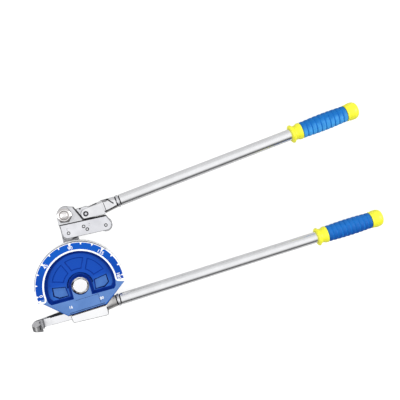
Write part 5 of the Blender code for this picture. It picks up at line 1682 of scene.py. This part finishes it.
seam = sheet(ribbon([(arm_seam_x, lower_side - overrun), (arm_seam_x, upper_side + overrun)], arm_seam_width),
             latch_front - arm_seam_width, through[1])
lip_groove_floor = hook_front - lip_groove_depth
mouth_path = [(lip_x + 3 * mm, 7.9 * mm), (lip_x - 6 * mm, 4.9 * mm)]
lip_path = [(lip_x - 1 * mm, 3 * mm), (lip_x - 3.7 * mm, 0.7 * mm), (lip_x - 3.7 * mm, -6 * mm)]
corner_outline = [(hook_back - overrun, 0.9 * mm), (hook_back + 4 * mm, 5.9 * mm), (lip_x + 4 * mm, 9.8 * mm),
                  (lip_x + 4 * mm, 20 * mm), (hook_back - overrun, 20 * mm)]
corner_cut = sheet(corner_outline, hook_rear - overrun, through[1])
chin_low = lower_side - chin_drop
chin_outline = [(hook_back - overrun, lower_side + 3 * mm), (hook_back + 4 * mm, lower_side),
                (lip_x, chin_low), (lip_x + 0.8 * mm, chin_low + 1 * mm), (lip_x + 0.8 * mm, lower_side),
                (arm_end + overrun, lower_side), (arm_end + overrun, chin_low - overrun),
                (hook_back - overrun, chin_low - overrun)]
chin_cut = sheet(chin_outline, hook_rear - overrun, through[1])
mouth = sheet(ribbon(mouth_path, mouth_width), tube_plane + 0.5 * mm, through[1])
lip_groove = sheet(ribbon(lip_path, lip_groove_width), lip_groove_floor, through[1])


def from_path(spot, path):
    """How far a point lies from a path, seen from the front."""
    gaps = []
    for first, last in zip(path, path[1:]):
        leg = Vector(last) - Vector(first)
        here = Vector((spot.x, spot.y)) - Vector(first)
        along = min(max(here.dot(leg) / leg.length_squared, 0), 1)
        gaps.append((here - leg * along).length)
    return min(gaps)


latch_bore = drill((0, 0), latch_screw_radius + pin_clearance, 0, through[1])
latch_mesh = shaped(arm_mesh, joins=[hook_mesh],
                    cuts=[taper_mesh, slope_mesh, latch_bore, seam, mouth, lip_groove, corner_cut, chin_cut])


def arm_flank(centre, normal):
    """The arm's sloping upper side, painted near black as shade."""
    return normal.y > 0.4 and centre.x > lip_x - 9 * mm and centre.z < latch_front - 0.3 * mm


def hook_hollow(centre, normal):
    """The round hollow that holds the tube's tail, painted dark as shade."""
    return math.hypot(centre.x - tube_x, centre.z - tube_plane) < hook_hole + 0.05 * mm


def mouth_faces(centre, normal):
    """The notch and the groove in the lip, painted black as shade."""
    front_face = normal.z > 0.3 and centre.z > lip_groove_floor + 0.1 * mm
    if centre.z < tube_plane + 0.4 * mm or front_face:
        return False
    return from_path(centre, mouth_path) < 1.3 * mm or from_path(centre, lip_path) < 1.2 * mm


def hook_lip(centre, normal):
    """The hook's front face, painted dark."""
    return centre.x < lip_x + 1 * mm and normal.z > 0.5 and centre.z > tube_plane


def hook_slope(centre, normal):
    """The sloping outer face of the hook's lip."""
    return centre.x < lip_x + 1 * mm and normal.y > 0.3 and normal.z > 0.2


dress("latch_hook", latch_mesh, latch_place, "latch", ["latch"], "cast_steel", latch_steel,
      (shade_grey_steel, side_faces), (dark_shade_steel, hook_hollow), (flank_shade_steel, arm_flank), (hook_steel, hook_lip),
      (machined_steel, hook_slope), (black_steel_and_shade, mouth_faces))
washer_top = arm_rear - running_gap
washer_bottom = washer_top - latch_washer_thickness
washer_bore = circle((0, 0), latch_screw_radius + pin_clearance)
washer_mesh = shaped(sheet(circle((0, 0), latch_washer_radius), washer_bottom, washer_top, [washer_bore]),
                     edge=washer_edge)
dress("latch_screw_washer", washer_mesh, latch_place, "latch", ["latch_washer"], "bright_steel", zinc_steel)
shoulder_top = washer_bottom - running_gap
shoulder_low = shoulder_top - latch_screw_head_height
thread_tip = latch_thread_top - running_gap
latch_screw_profile = [(0, thread_tip), (latch_thread_radius, thread_tip), (latch_thread_radius, latch_front),
                       (latch_screw_radius, latch_front), (latch_screw_radius, shoulder_top),
                       (latch_screw_head_radius, shoulder_top),
                       (latch_screw_head_radius, shoulder_low + screw_edge),
                       (latch_screw_head_radius - screw_edge, shoulder_low), (0, shoulder_low)]
screw_mesh = socket_screw(latch_screw_profile, hex_key_radius, shoulder_low - overrun, shoulder_low + 2 * mm)
dress("latch_shoulder_screw", screw_mesh, latch_place, "form", ["latch_screw"], "dark_steel", dark_oxide)
